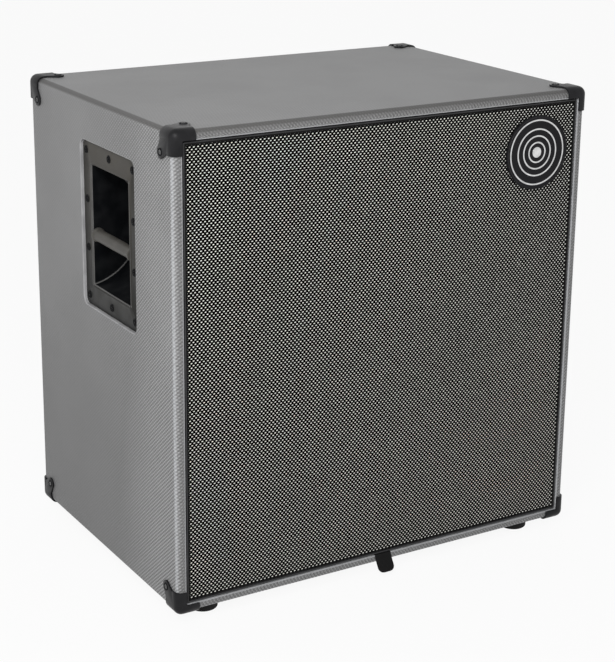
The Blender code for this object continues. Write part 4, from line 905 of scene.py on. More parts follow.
def window_tool(middle_z, half_a, half_b, radius, low_y, high_y, steps=CORNER_STEPS):
    """The tool that cuts a rounded window through a panel."""
    outline = [(a, middle_z + b) for a, b in rounded_rectangle(half_a, half_b, radius, steps)]
    return prism(outline, "Y", low_y, high_y)


def rounded_block(low, high, radius, steps=CORNER_STEPS):
    """A box whose edges and corners are all rounded alike."""
    mesh_bm = bmesh.new()
    bmesh.ops.create_cube(mesh_bm, size=1.0)
    low, high = Vector(low), Vector(high)
    bmesh.ops.scale(mesh_bm, vec=high - low, verts=mesh_bm.verts)
    bmesh.ops.translate(mesh_bm, vec=(low + high) / 2, verts=mesh_bm.verts)
    edges = mesh_bm.edges[:]
    bmesh.ops.bevel(mesh_bm, geom=edges, offset=radius, segments=steps, profile=0.5, affect="EDGES")
    return link_mesh(mesh_bm)


def evaluated(obj):
    """Applies an object's modifiers."""
    graph = bpy.context.evaluated_depsgraph_get()
    result = bpy.data.meshes.new_from_object(obj.evaluated_get(graph))
    obj.modifiers.clear()
    obj.data = result
    return obj


def combine(body, tool, operation):
    """Applies one exact Boolean to the body and uses the tool up."""
    modifier = body.modifiers.new(operation.lower(), "BOOLEAN")
    modifier.operation = operation
    modifier.solver = "EXACT"
    modifier.object = tool
    evaluated(body)
    bpy.data.objects.remove(tool, do_unlink=True)
    return body


def add_bevel(obj, width, angle):
    """A modifier that rounds an object's sharp edges."""
    modifier = obj.modifiers.new("bevel", "BEVEL")
    modifier.width = width
    modifier.segments = 2
    modifier.limit_method = "ANGLE"
    modifier.angle_limit = radians(angle)


def softened(obj, width):
    """Rounds an object's sharp edges for good."""
    add_bevel(obj, width, 50)
    return evaluated(obj)


def middle_of(node):
    """The middle of a CAD node's box."""
    low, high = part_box(node)
    return (low + high) / 2


def piece(obj, name, finishes, body="cabinet", replaces=(), place=(0, 0, 0), angle=35):
    """Names a shape, gives it its materials and puts it on its body."""
    obj.name = name
    obj.data.name = name
    for finish in finishes if isinstance(finishes, (list, tuple)) else [finishes]:
        obj.data.materials.append(finish)
    obj.data.shade_smooth()
    obj.data.set_sharp_from_angle(angle=radians(angle))
    obj.location = place
    if body is not None:
        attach(obj, body)
    if replaces:
        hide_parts(*replaces)
    return obj


def scattered(base, places):
    """One object that holds a copy of a mesh at each of several matrices."""
    mesh_bm = bmesh.new()
    for place in places:
        copy = base.copy()
        copy.transform(place)
        mesh_bm.from_mesh(copy)
        bpy.data.meshes.remove(copy)
    return link_mesh(mesh_bm)


def facing(point, direction, size, turn=0.0):
    """A matrix that takes a part made along +Z to a point, facing a direction."""
    swing = Vector(direction).to_track_quat("Z", "Y").to_matrix().to_4x4()
    return Matrix.Translation(point) @ swing @ Matrix.Rotation(turn, 4, "Z") @ Matrix.Scale(size, 4)


def screw_mesh():
    """A domed screw head of radius 1 with a cross recess, and the washer-like rim round it."""
    profile = [(0.0, -0.6), (0.55, -0.6), (0.55, -0.05), (1.0, -0.05), (1.0, 0.12)]
    profile += [(0.92 * cos(a), 0.12 + 0.42 * sin(a)) for a in (0.2, 0.45, 0.7, 0.95, 1.2, 1.4)]
    head = solid_turned(profile + [(0.0, 0.54)], "Z", SCREW_STEPS)
    for length, width in ((0.56, 0.12), (0.12, 0.56)):
        tool = prism(rounded_rectangle(length, width, 0.05, 2), "Z", 0.2, 1.0)
        combine(head, tool, "DIFFERENCE")
    for face in head.data.polygons:
        near_axis = hypot(face.center.x, face.center.y) < 0.32
        sunk = face.center.z < 0.50 and (abs(face.normal.z) < 0.2 or face.normal.z > 0.9)
        face.material_index = 1 if near_axis and sunk else 0
    return mesh_of(head)


def screws(mesh, name, spots, radius, finishes):
    """A group of screws at (point, direction) pairs, each turned unlike the last."""
    places = [facing(p, d, radius, i * SCREW_TURN) for i, (p, d) in enumerate(spots)]
    group = scattered(mesh, places)
    if not isinstance(finishes, list):
        group.data.polygons.foreach_set("material_index", [0] * len(group.data.polygons))
    return piece(group, name, finishes)


def front_spots(centre, y, radius, count):
    """Spots for screws that face the front, evenly round a centre."""
    angles = [2 * pi * (i + 0.5) / count for i in range(count)]
    return [((centre[0] + radius * cos(a), y, centre[2] + radius * sin(a)), (0, -1, 0)) for a in angles]


def cups(name, spots, radius, finishes):
    """Dished rings round some screws' heads, near black as painted shadow in their countersinks."""
    mesh = mesh_of(turned(filleted(SCREW_CUP, 0.08, 2), "Z", 28))
    places = [facing(point, direction, radius) for point, direction in spots]
    return piece(scattered(mesh, places), name, finishes)


# Cabinet shell


def shell_ring(inset, y):
    """A ring round the cabinet, at an inset from its sides and at a depth."""
    radius = max(EDGE_RADIUS - inset, LEAST_RADIUS)
    return ring_about(MIDDLE_Z, SIDE_X - inset, HALF_HEIGHT - inset, radius, y)


def half_shell_profile(inset, face_y, inward):
    """(inset, y) points from the opening's flap over the rim and the edge of one face."""
    flap = RIM_WIDTH + FLAP_THICKNESS - inset * 0.5
    points = [(flap, FLAP_DEPTH)]
    points += arc((flap - RIM_BEND, RIM_BEND + inset), RIM_BEND - inset * 0.8, 0, -90, 4)
    points += arc((EDGE_RADIUS, EDGE_RADIUS), EDGE_RADIUS - inset, 270, 180, CORNER_STEPS)
    return [(a, face_y + inward * depth) for a, depth in points]


def make_shell(finishes):
    """The vinyl skin over the whole shell, turned in round both openings and both handles."""
    front, inner_front = [half_shell_profile(inset, FRONT_Y, 1) for inset in (0.0, VINYL_THICKNESS)]
    back, inner_back = [half_shell_profile(inset, BACK_Y, -1) for inset in (0.0, VINYL_THICKNESS)]
    section = front + back[::-1] + inner_back + inner_front[::-1]
    shell = ring_mesh([shell_ring(inset, y) for inset, y in section], closed=True)
    hole_margin = LIP_GAP + LIP_RADIUS
    outline = [(HANDLE_Y + a, HANDLE_Z + b) for a, b in handle_rectangle(hole_margin)]
    combine(shell, prism(outline, "X", -SIDE_X * 2, SIDE_X * 2), "DIFFERENCE")
    piece(shell, "vinyl_shell", finishes["vinyl"], replaces=["vinyl_covering"])
    bottom = HANDLE_REBATE + HANDLE_FRAME_THICKNESS - 3 * SEAT
    lip_centre = (hole_margin, LIP_RADIUS)
    section = [(hole_margin, 0.0)] + arc(lip_centre, LIP_RADIUS, 270, 180, 6)
    section += [(LIP_GAP, bottom), (LIP_GAP + LIP_THICKNESS, bottom)]
    section += arc(lip_centre, LIP_RADIUS - LIP_THICKNESS, 180, 270, 6)
    section = [(handle_rectangle(margin), depth) for margin, depth in section]
    for side_name, side in SIDES:
        lip = ring_mesh(handle_rings(section, side), closed=True)
        # The lips are real turned-in vinyl whose lighter colour is a painted highlight.
        piece(lip, side_name + "_handle_lip", finishes["fold"])


def dress(node, finish, bevel=0.0008):
    """Gives a CAD node its material and soft edges."""
    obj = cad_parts[node]
    obj.data.materials.clear()
    obj.data.materials.append(finish)
    weld = obj.modifiers.new("weld", "WELD")
    weld.merge_threshold = 0.00001
    add_bevel(obj, bevel, 40)


def make_back(finishes, screw):
    """The vinyl-covered back board, with its screws and countersunk washers."""
    middle_z = (BACK_LOW.z + BACK_HIGH.z) / 2
    half_x = (BACK_HIGH.x - BACK_LOW.x) / 2
    half_z = (BACK_HIGH.z - BACK_LOW.z) / 2
    section = [(BACK_EDGE, BACK_LOW.y), (0.0, BACK_LOW.y + BACK_EDGE), (0.0, BACK_HIGH.y - BACK_EDGE)]
    section += [(BACK_EDGE * 0.3, BACK_HIGH.y - BACK_EDGE * 0.3), (BACK_EDGE, BACK_HIGH.y)]
    rings = [ring_about(middle_z, half_x - inset, half_z - inset, BACK_CORNER, y, 4) for inset, y in section]
    board = ring_mesh(rings, closed=False)
    hole_x = DISH_HIGH.x - DISH_RIM_WIDTH - SEAT
    hole_z = (DISH_HIGH.z - DISH_LOW.z) / 2 - DISH_RIM_HEIGHT - SEAT
    tool = window_tool(DISH_Z, hole_x, hole_z, 0.003, BACK_LOW.y - 0.01, BACK_HIGH.y + 0.01, 3)
    combine(board, tool, "DIFFERENCE")
    piece(board, "back_board", finishes["back"], replaces=["back_panel"])
    spots = []
    reach_x = half_x - BACK_SCREW_INSET
    reach_z = half_z - BACK_SCREW_INSET
    inner = reach_x - BACK_SCREW_END
    y = BACK_HIGH.y + BACK_SCREW_RISE
    for i in range(BACK_SCREW_COUNT):
        share = 2 * i / (BACK_SCREW_COUNT - 1) - 1
        for sign in (-1, 1):
            spots.append(((share * inner, y, middle_z + sign * reach_z), (0, 1, 0)))
            spots.append(((sign * reach_x, y, middle_z + share * (inner + 0.002)), (0, 1, 0)))
    screws(screw, "back_screws", spots, BACK_SCREW_RADIUS, finishes["screw"])
    mesh = mesh_of(turned(filleted(BACK_WASHER, 0.0003), "Z", SCREW_STEPS))
    places = [facing((p[0], BACK_HIGH.y, p[2]), d, 1.0) for p, d in spots]
    piece(scattered(mesh, places), "back_cup_washers", finishes["screw"])


# Corner protectors and feet


def corner_face_outline():
    """One face of a corner protector, measured in from its two edges, with its screw ear."""
    overlap = 2 * CORNER_PROUD
    ear = arc((EAR_OFFSET, EAR_OFFSET), EAR_RADIUS, -EAR_OPENING_ANGLE, 90 + EAR_OPENING_ANGLE, 16)
    arm = [(CORNER_REACH, -overlap), (CORNER_REACH, 0.0), (CORNER_WAIST, CORNER_WAIST_AT), ear[0]]
    arm = filleted(arm, 0.006, 5, closed=False)[1:-1]
    other_arm = [(b, a) for a, b in reversed(arm)]
    start = [(-overlap, -overlap), (CORNER_REACH, -overlap)]
    return start + arm + ear + other_arm + [(-overlap, CORNER_REACH)]


def corner_rim_outline():
    """The face towards the grille: two narrow arms on the rim, with a notch between them."""
    overlap = 2 * CORNER_PROUD
    return [
        (-overlap, -overlap),
        (CORNER_REACH, -overlap),
        (CORNER_REACH, RIM_WIDTH),
        (RIM_WIDTH, RIM_WIDTH),
        (RIM_WIDTH, CORNER_REACH),
        (-overlap, CORNER_REACH),
    ]


def make_corners(finishes, screw):
    """Eight moulded protectors, each the mirror image of its neighbours, and their screws."""
    far = 2 * CORNER_REACH
    shell = rounded_block([-CORNER_PROUD] * 3, [far] * 3, EDGE_RADIUS + CORNER_PROUD)
    combine(shell, rounded_block([-SEAT] * 3, [2 * far] * 3, EDGE_RADIUS + SEAT), "DIFFERENCE")
    span = (-2 * CORNER_PROUD, RIM_WIDTH)
    faces = prism(corner_face_outline(), "X", *span)
    combine(faces, prism(corner_rim_outline(), "Y", *span), "UNION")
    combine(faces, prism(corner_face_outline(), "Z", *span), "UNION")
    combine(shell, faces, "INTERSECT")
    softened(shell, 0.0005)
    sunk = CORNER_PROUD - CORNER_SCREW_RADIUS * 0.10
    spots = []
    depths = (("front", 1, FRONT_Y), ("back", -1, BACK_Y))
    levels = (("bottom", 1, BASE_Z), ("top", -1, TOP_Z))
    places = product(depths, levels, SIDES)
    for (depth_name, front_sign, y), (level_name, up_sign, z), (side_name, side) in places:
        mesh = shell.data.copy()
        signs = (-side, front_sign, up_sign)
        mesh.transform(Matrix.Diagonal((*signs, 1)))
        if signs[0] * signs[1] * signs[2] < 0:
            mesh.flip_normals()
        where = "_".join((depth_name, level_name, side_name))
        nodes = ["corner_" + where]
        place = (side * SIDE_X, y, z)
        corner = linked("corner", mesh)
        piece(corner, "protector_" + where, finishes["corner"], "cabinet", nodes, place)
        ear_y = y + front_sign * EAR_OFFSET
        ear_z = z + up_sign * EAR_OFFSET
        ear_x = side * (SIDE_X - EAR_OFFSET)
        spots.append(((side * (SIDE_X + sunk), ear_y, ear_z), (side, 0, 0)))
        spots.append(((ear_x, ear_y, z - up_sign * sunk), (0, 0, -up_sign)))
    bpy.data.objects.remove(shell, do_unlink=True)
    screws(screw, "corner_screws", spots, CORNER_SCREW_RADIUS, [finishes["stud"], finishes["screw"]])
    rim_spots = [(Vector(p) - Vector(d) * CORNER_SCREW_RADIUS * 0.02, d) for p, d in spots]
    # Painted shadow: near-black rings round the corner screws' heads.
    cups("corner_screw_shadow_rings", rim_spots, CORNER_SCREW_RADIUS, finishes["scoop"])


def make_feet(finishes, screw):
    """Four turned rubber feet, each with a screw in its recess."""
    spots = []
    well = [(FOOT_WELL_RADIUS, FOOT_WELL_DEPTH), (0.0, FOOT_WELL_DEPTH)]
    for node in ("foot_front_left", "foot_front_right", "foot_back_left", "foot_back_right"):
        low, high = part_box(node)
        radius = (high.x - low.x) / 2
        tread = radius - FOOT_TAPER
        profile = [(0.0, high.z), (radius - 0.0005, high.z), (radius, high.z - 0.004), (tread, 0.006)]
        profile += arc((tread - FOOT_ROUND, FOOT_ROUND), FOOT_ROUND, 0, -90, 6)
        profile += [(FOOT_WELL_RADIUS + 0.001, 0.0), (FOOT_WELL_RADIUS, 0.001)] + well
        foot = solid_turned(profile, "Z", 48)
        centre = ((low.x + high.x) / 2, (low.y + high.y) / 2, 0.0)
        piece(foot, "rubber_" + node, finishes["rubber"], "cabinet", [node], centre)
        spots.append(((centre[0], centre[1], FOOT_SCREW_Z), (0, 0, -1)))
    screws(screw, "foot_screws", spots, FOOT_SCREW_RADIUS, finishes["screw"])


# Handles


def handle_rectangle(margin):
    """The handle frame's outline about its centre, grown by a margin."""
    half_length = HANDLE_HALF_LENGTH + margin
    half_height = HANDLE_HALF_HEIGHT + margin
    return rounded_rectangle(half_length, half_height, HANDLE_FRAME_RADIUS + margin)


def scoop_rectangle(half_height, grown=0.0, half_length=SCOOP_HALF_LENGTH, corner=SCOOP_CORNER):
    """The scoop's outline at one depth, grown by a margin."""
    half_length, half_height, corner = half_length + grown, half_height + grown, corner + grown
    return rounded_rectangle(half_length, half_height, min(corner, half_height * 0.9))


def scoop_section(radius, half_length, first_depth):
    """(outline, depth) pairs down the round scoop, from a depth to near its floor."""
    start = acos((first_depth + SCOOP_AXIS_OUTSIDE) / radius)
    section = []
    for i in range(SCOOP_STEPS + 1):
        angle = start * (1 - 0.985 * i / SCOOP_STEPS)
        outline = scoop_rectangle(radius * sin(angle), half_length=half_length)
        section.append((outline, radius * cos(angle) - SCOOP_AXIS_OUTSIDE))
    return section


def handle_section():
    """All (outline, depth) pairs of a cup, from behind the scoop round the frame and inside."""
    frame_back = HANDLE_REBATE + HANDLE_FRAME_THICKNESS
    bevel = HANDLE_BEVEL
    section = scoop_section(SCOOP_RADIUS + SCOOP_WALL, SCOOP_HALF_LENGTH + SCOOP_WALL, frame_back)[::-1]
    section += [(handle_rectangle(-0.0004), frame_back), (handle_rectangle(0.0), frame_back - 0.0004)]
    section += [(handle_rectangle(0.0), HANDLE_REBATE + bevel)]
    section += [(handle_rectangle(-bevel * 0.3), HANDLE_REBATE + bevel * 0.3)]
    section += [(handle_rectangle(-bevel), HANDLE_REBATE)]
    lip_depth = HANDLE_REBATE + SCOOP_LIP
    opening = sqrt(SCOOP_RADIUS**2 - (lip_depth + SCOOP_AXIS_OUTSIDE) ** 2)
    for grown, proud in SCOOP_BEAD:
        section.append((scoop_rectangle(opening, grown), HANDLE_REBATE - proud))
    for angle in [pi / 8 * share for share in range(4)]:
        depth = HANDLE_REBATE + SCOOP_LIP * (1 - cos(angle))
        section.append((scoop_rectangle(opening, SCOOP_LIP * (1 - sin(angle))), depth))
    return section + scoop_section(SCOOP_RADIUS, SCOOP_HALF_LENGTH, lip_depth)


def handle_rings(section, side):
    """(outline, depth) pairs as rings in one side of the cabinet."""
    return [[(side * (SIDE_X - d), HANDLE_Y + a, HANDLE_Z + b) for a, b in outline] for outline, d in section]


def cup_part(face):
    """What a face of a cup belongs to: 0 its frame, 1 the scoop's inside, in painted shade, 2 an edge with a
    painted highlight.
    """
    depth = SIDE_X - abs(face.center.x)
    far_y = abs(face.center.y - HANDLE_Y)
    far_z = abs(face.center.z - HANDLE_Z)
    if depth > SCOOP_SHADE_DEPTH and far_y < SCOOP_HALF_LENGTH + SEAT and far_z < SCOOP_RADIUS:
        # A thin band on the scoop's rounded corner gets the painted highlight, the rest of the inside painted
        # shade.
        rounding = (SCOOP_HALF_LENGTH - far_y) / SCOOP_CORNER
        return 2 if 0.2 < rounding < 0.65 else 1
    # Lip edges that face up or forward get the painted highlight.
    near_opening = far_y < SCOOP_HALF_LENGTH + 0.004 and far_z < SCOOP_RADIUS
    lit = face.normal.z > 0.3 or face.normal.y < -0.3
    return 2 if near_opening and lit and depth < HANDLE_REBATE + SCOOP_LIP else 0


def make_handles(finishes, screw):
    """The two moulded cups, their bars and ten screws in countersunk holes each."""
    section = handle_section()
    spots = [(a, b * SCREW_ROW) for a in (-SCREW_COLUMN, SCREW_COLUMN) for b in (-1.5, -0.5, 0.5, 1.5)]
    spots += [(0.0, -1.5 * SCREW_ROW), (0.0, 1.5 * SCREW_ROW)]
    sink = mesh_of(solid_turned(filleted(HANDLE_SINK, 0.0003, 2), "Z", SCREW_STEPS))
    for side_name, side in SIDES:
        cup = ring_mesh(handle_rings(section, side), closed=False)
        face_x = side * (SIDE_X - HANDLE_REBATE)
        direction = (side, 0, 0)
        points = [(face_x, HANDLE_Y + a, HANDLE_Z + b) for a, b in spots]
        tool = scattered(sink, [facing(point, direction, 1.0) for point in points])
        combine(cup, tool, "DIFFERENCE")
        for face in cup.data.polygons:
            face.material_index = cup_part(face)
        # The scoop's inside is in painted shade and some edges carry a painted highlight.
        parts = [finishes["frame"], finishes["scoop"], finishes["painted_highlight"]]
        piece(cup, side_name + "_cup", parts, "cabinet", [side_name + "_handle_cup"])
        heads = [((x - side * HANDLE_SCREW_SUNK, y, z), direction) for x, y, z in points]
        # Black heads whose cross recesses are a painted glint.
        both = [finishes["screw"], finishes["painted_glint"]]
        screws(screw, side_name + "_handle_screws", heads, HANDLE_SCREW_RADIUS, both)
        # Painted shadow: near-black rings round the handle screws' heads.
        cups(side_name + "_handle_screw_shadow_rings", heads, HANDLE_CUP_RADIUS, finishes["scoop"])
        make_bar(finishes, side_name)


def make_bar(finishes, side_name):
    """The round bar with a collar at each end."""
    node = side_name + "_handle_bar"
    low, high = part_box(node)
    radius = (high.x - low.x) / 2 - BAR_SHY
    half = SCOOP_HALF_LENGTH - SEAT
    collar = radius + BAR_COLLAR
    foot = half - BAR_COLLAR_FOOT
    end = half - BAR_COLLAR_END
    profile = [(0.0, -half), (collar, -half), (collar, -end), (radius, -foot)]
    for share in [i / 12 for i in range(1, 12)]:
        profile.append((radius + BAR_SWELL * sin(pi * share) - BAR_SWELL, -foot * (1 - 2 * share)))
    profile += [(radius, foot), (collar, end), (collar, half), (0.0, half)]
    bar = solid_turned(profile, "Y", 48, fillet=0.0006)
    piece(bar, side_name + "_bar", finishes["grip"], "cabinet", [node], middle_of(node))


# Woofers. Each part is made about the origin with height 0 at the baffle's front face.


def basket_body():
    """The driver's frame: a flange, six spokes and a rear ring with the spider's ledge."""
    rear_front = BASKET_DEPTH - BASKET_REAR_HEIGHT
    inner_radius = BASKET_RADIUS - BASKET_WALL
    steel_front = GASKET_THICKNESS - FLANGE_PROUD
    profile = [
        (FLANGE_RADIUS, steel_front),
        (FLANGE_RADIUS, -SEAT),
        (BASKET_RADIUS, -SEAT),
        (BASKET_RADIUS, BASKET_STRAIGHT),
        (BASKET_REAR_RADIUS, rear_front),
        (BASKET_REAR_RADIUS, BASKET_DEPTH),
        (BASKET_FLOOR_HOLE, BASKET_DEPTH),
        (BASKET_FLOOR_HOLE, BASKET_DEPTH - BASKET_FLOOR),
        (BASKET_WELL_RADIUS, BASKET_DEPTH - BASKET_FLOOR),
        (BASKET_WELL_RADIUS, LEDGE_DEPTH),
        (LEDGE_RADIUS, LEDGE_DEPTH),
        (inner_radius, BASKET_STRAIGHT - BASKET_WALL),
        (inner_radius, -FLANGE_STEP_PROUD),
        (FLANGE_STEP_RADIUS, -FLANGE_STEP_PROUD),
        (FLANGE_STEP_RADIUS, steel_front),
    ]
    body = turned(filleted(profile, 0.0012, 3))
    pitch = 360 / SPOKE_COUNT
    for i in range(SPOKE_COUNT):
        start = i * pitch + SPOKE_ANGLE / 2
        end = (i + 1) * pitch - SPOKE_ANGLE / 2
        outline = arc((0, 0), FLANGE_RADIUS, start, end, 12)
        outline += arc((0, 0), LEDGE_RADIUS, end, start, 12)
        combine(body, prism(filleted(outline, 0.004, 3), "Y", WINDOW_FROM, WINDOW_TO), "DIFFERENCE")
    return softened(body, 0.0004)


def gasket_body():
    """The felt ring that the grille side of the flange carries."""
    front = -FLANGE_PROUD
    back = front + GASKET_THICKNESS - SEAT / 3
    inside = FLANGE_STEP_RADIUS + SEAT
    outside = FLANGE_RADIUS - SEAT
    return turned(filleted([(inside, front), (inside, back), (outside, back), (outside, front)], 0.0006))


def motor_body():
    """The magnet between its two plates, with the pole piece that the coil rides over."""
    front = BASKET_DEPTH + SEAT
    magnet_front = front + PLATE_THICKNESS
    magnet_back = magnet_front + MAGNET_THICKNESS
    back = magnet_back + PLATE_THICKNESS
    pole_radius = COIL_RADIUS - COIL_RUNNING_GAP
    gap_radius = COIL_RADIUS + COIL_WALL + COIL_RUNNING_GAP
    profile = [
        (POLE_VENT_RADIUS, front),
        (pole_radius, front),
        (pole_radius, magnet_back),
        (gap_radius, magnet_back),
        (gap_radius, front),
        (PLATE_RADIUS, front),
        (PLATE_RADIUS, magnet_front),
        (MAGNET_RADIUS, magnet_front),
        (MAGNET_RADIUS, magnet_back),
        (PLATE_RADIUS, magnet_back),
        (PLATE_RADIUS, back),
        (POLE_VENT_RADIUS, back),
    ]
    body = turned(filleted(profile, 0.0010, 3))
    for face in body.data.polygons:
        centre = face.center
        within = magnet_front - SEAT < centre.y < magnet_back + SEAT
        outside = hypot(centre.x, centre.z) > PLATE_RADIUS - SEAT
        face.material_index = 1 if within and outside else 0
    return body


def cone_face(radius):
    """How deep the cone's front face lies at a radius."""
    share = (radius - CONE_NECK_RADIUS) / (CONE_INNER_EDGE - CONE_NECK_RADIUS)
    straight = CONE_NECK_DEPTH + (CONE_EDGE_DEPTH - CONE_NECK_DEPTH) * share
    return straight - CONE_FLARE * sin(pi * share)


def cone_body():
    """The paper cone with its dust cap and the coil former behind it."""
    neck, edge = CONE_NECK_RADIUS, CONE_INNER_EDGE
    cap_base = cone_face(DUST_CAP_RADIUS)
    cap_inside = DUST_CAP_RADIUS - 2 * CONE_THICKNESS
    angles = [pi / 2 * i / 12 for i in range(12)]
    profile = [(DUST_CAP_RADIUS * sin(a), cap_base - DUST_CAP_RISE * cos(a)) for a in angles]
    flank = [DUST_CAP_RADIUS + (edge - DUST_CAP_RADIUS) * i / 16 for i in range(17)]
    profile += [(radius, cone_face(radius)) for radius in flank]
    rim_back = CONE_EDGE_DEPTH + CONE_THICKNESS
    profile += [(CONE_EDGE_RADIUS, CONE_EDGE_DEPTH), (CONE_EDGE_RADIUS, rim_back), (edge, rim_back)]
    behind = [neck + (edge - neck) * i / 20 for i in range(19, 0, -1)]
    profile += [(radius, cone_face(radius) + CONE_THICKNESS) for radius in behind]
    profile += [
        (neck, CONE_NECK_DEPTH + CONE_THICKNESS),
        (neck, COIL_END),
        (COIL_RADIUS, COIL_END),
        (COIL_RADIUS, CONE_NECK_DEPTH),
        (cap_inside, cone_face(cap_inside) + CONE_THICKNESS / 4),
    ]
    rise = DUST_CAP_RISE - CONE_THICKNESS
    profile += [(cap_inside * sin(a), cap_base - rise * cos(a)) for a in reversed(angles)]
    return solid_turned(profile)


def coil_body():
    """The copper winding on the end of the former."""
    inside, outside = CONE_NECK_RADIUS, CONE_NECK_RADIUS + COIL_WINDING
    section = [(inside, COIL_WINDING_FROM), (outside, COIL_WINDING_FROM)]
    return turned(section + [(outside, COIL_WINDING_TO), (inside, COIL_WINDING_TO)])


def sheet_profile(middle, thickness):
    """A loop round a thin sheet whose middle runs through these points."""
    front, back = [], []
    for i, (radius, height) in enumerate(middle):
        before = middle[max(i - 1, 0)]
        after = middle[min(i + 1, len(middle) - 1)]
        along = Vector((after[0] - before[0], after[1] - before[1])).normalized()
        off = (-along[1] * thickness / 2, along[0] * thickness / 2)
        front.append((radius + off[0], height + off[1]))
        back.append((radius - off[0], height - off[1]))
    return front + back[::-1]


def sheet_ring(start, outer, inner, end, steps, sway, thickness):
    """A thin turned sheet between four (radius, height) points, swaying in its middle stretch."""
    middle = [start]
    for share in [i / steps for i in range(steps + 1)]:
        radius, height = [a + (b - a) * share for a, b in zip(outer, inner)]
        middle.append((radius, height + sway(share)))
    return turned(sheet_profile(middle + [end], thickness))


def surround_body():
    """The pleated cloth ring between the flange's step and the cone's edge."""
    half = SURROUND_THICKNESS / 2
    outer_depth = -FLANGE_STEP_PROUD - SEAT - half
    inner_depth = CONE_EDGE_DEPTH - SEAT - half
    outer = (BASKET_RADIUS - BASKET_WALL + SURROUND_THICKNESS, outer_depth)
    inner = (CONE_EDGE_RADIUS - SURROUND_THICKNESS, inner_depth)
    start = (FLANGE_STEP_RADIUS - 2 * SEAT, outer_depth)
    end = (CONE_INNER_EDGE + SEAT, inner_depth)

    def sway(share):
        return -SURROUND_FOLD_HEIGHT * cos(4 * pi * share) * sqrt(sin(pi * share) + 1e-9)

    return sheet_ring(start, outer, inner, end, 32, sway, SURROUND_THICKNESS)


def spider_body():
    """The cupped, corrugated disc that centres the coil."""
    outer_depth = LEDGE_DEPTH - SEAT - SPIDER_THICKNESS / 2
    inner_depth = outer_depth - SPIDER_CUP
    inner_radius = CONE_NECK_RADIUS + 2 * SEAT
    outer = (BASKET_WELL_RADIUS, outer_depth)
    inner = (inner_radius + SPIDER_LIP, inner_depth)
    start = (LEDGE_RADIUS - 5 * SEAT, outer_depth)

    def sway(share):
        return SPIDER_FOLD_HEIGHT * sin(2 * pi * SPIDER_FOLD_COUNT * share)

    return sheet_ring(start, outer, inner, (inner_radius, inner_depth), 48, sway, SPIDER_THICKNESS)


def make_woofers(finishes, screw):
    """Four alike drivers."""
    makers = (
        ("basket", basket_body, finishes["basket"], "basket_steel", True),
        ("gasket", gasket_body, finishes["gasket"], "surround_cloth", False),
        ("motor", motor_body, [finishes["steel"], finishes["ferrite"]], "magnet", True),
        ("cone", cone_body, finishes["paper"], "cone_paper", True),
        ("coil", coil_body, finishes["copper"], "cone_paper", False),
        ("surround", surround_body, finishes["surround"], "surround_cloth", True),
        ("spider", spider_body, finishes["spider"], "spider_cloth", True),
    )
    spots = []
    for kind, maker, finish, slot, stands_for in makers:
        first = maker()
        indices = [face.material_index for face in first.data.polygons]
        for position in WOOFERS:
            middle = middle_of("basket_" + position)
            place = (middle.x, BAFFLE_Y, middle.z)
            obj = linked("copy", first.data.copy())
            cone = position + "_cone"
            moves = {"cone": cone, "coil": cone, "surround": None, "spider": None}
            body = moves.get(kind, "cabinet")
            node = [kind + "_" + position] if stands_for else []
            piece(obj, "woofer_" + kind + "_" + position, finish, body, node, place)
            obj.data.polygons.foreach_set("material_index", indices)
            if kind == "surround":
                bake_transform(obj)
            if kind == "spider":
                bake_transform(obj)
            if kind == "basket":
                ring = (FLANGE_RADIUS + FLANGE_STEP_RADIUS) / 2
                spots += front_spots(place, BAFFLE_Y - FLANGE_PROUD, ring, WOOFER_SCREW_COUNT)
        bpy.data.objects.remove(first, do_unlink=True)
    screws(screw, "woofer_screws", spots, WOOFER_SCREW_RADIUS, finishes["screw"])


# Horn, its driver and the ports

def horn_radius(depth):
    """The horn's bore: exponential from the mouth to the throat."""
    share = (depth + HORN_FLANGE_THICKNESS) / (HORN_DEPTH + HORN_FLANGE_THICKNESS)
    return HORN_MOUTH_RADIUS * (HORN_THROAT_RADIUS / HORN_MOUTH_RADIUS) ** share


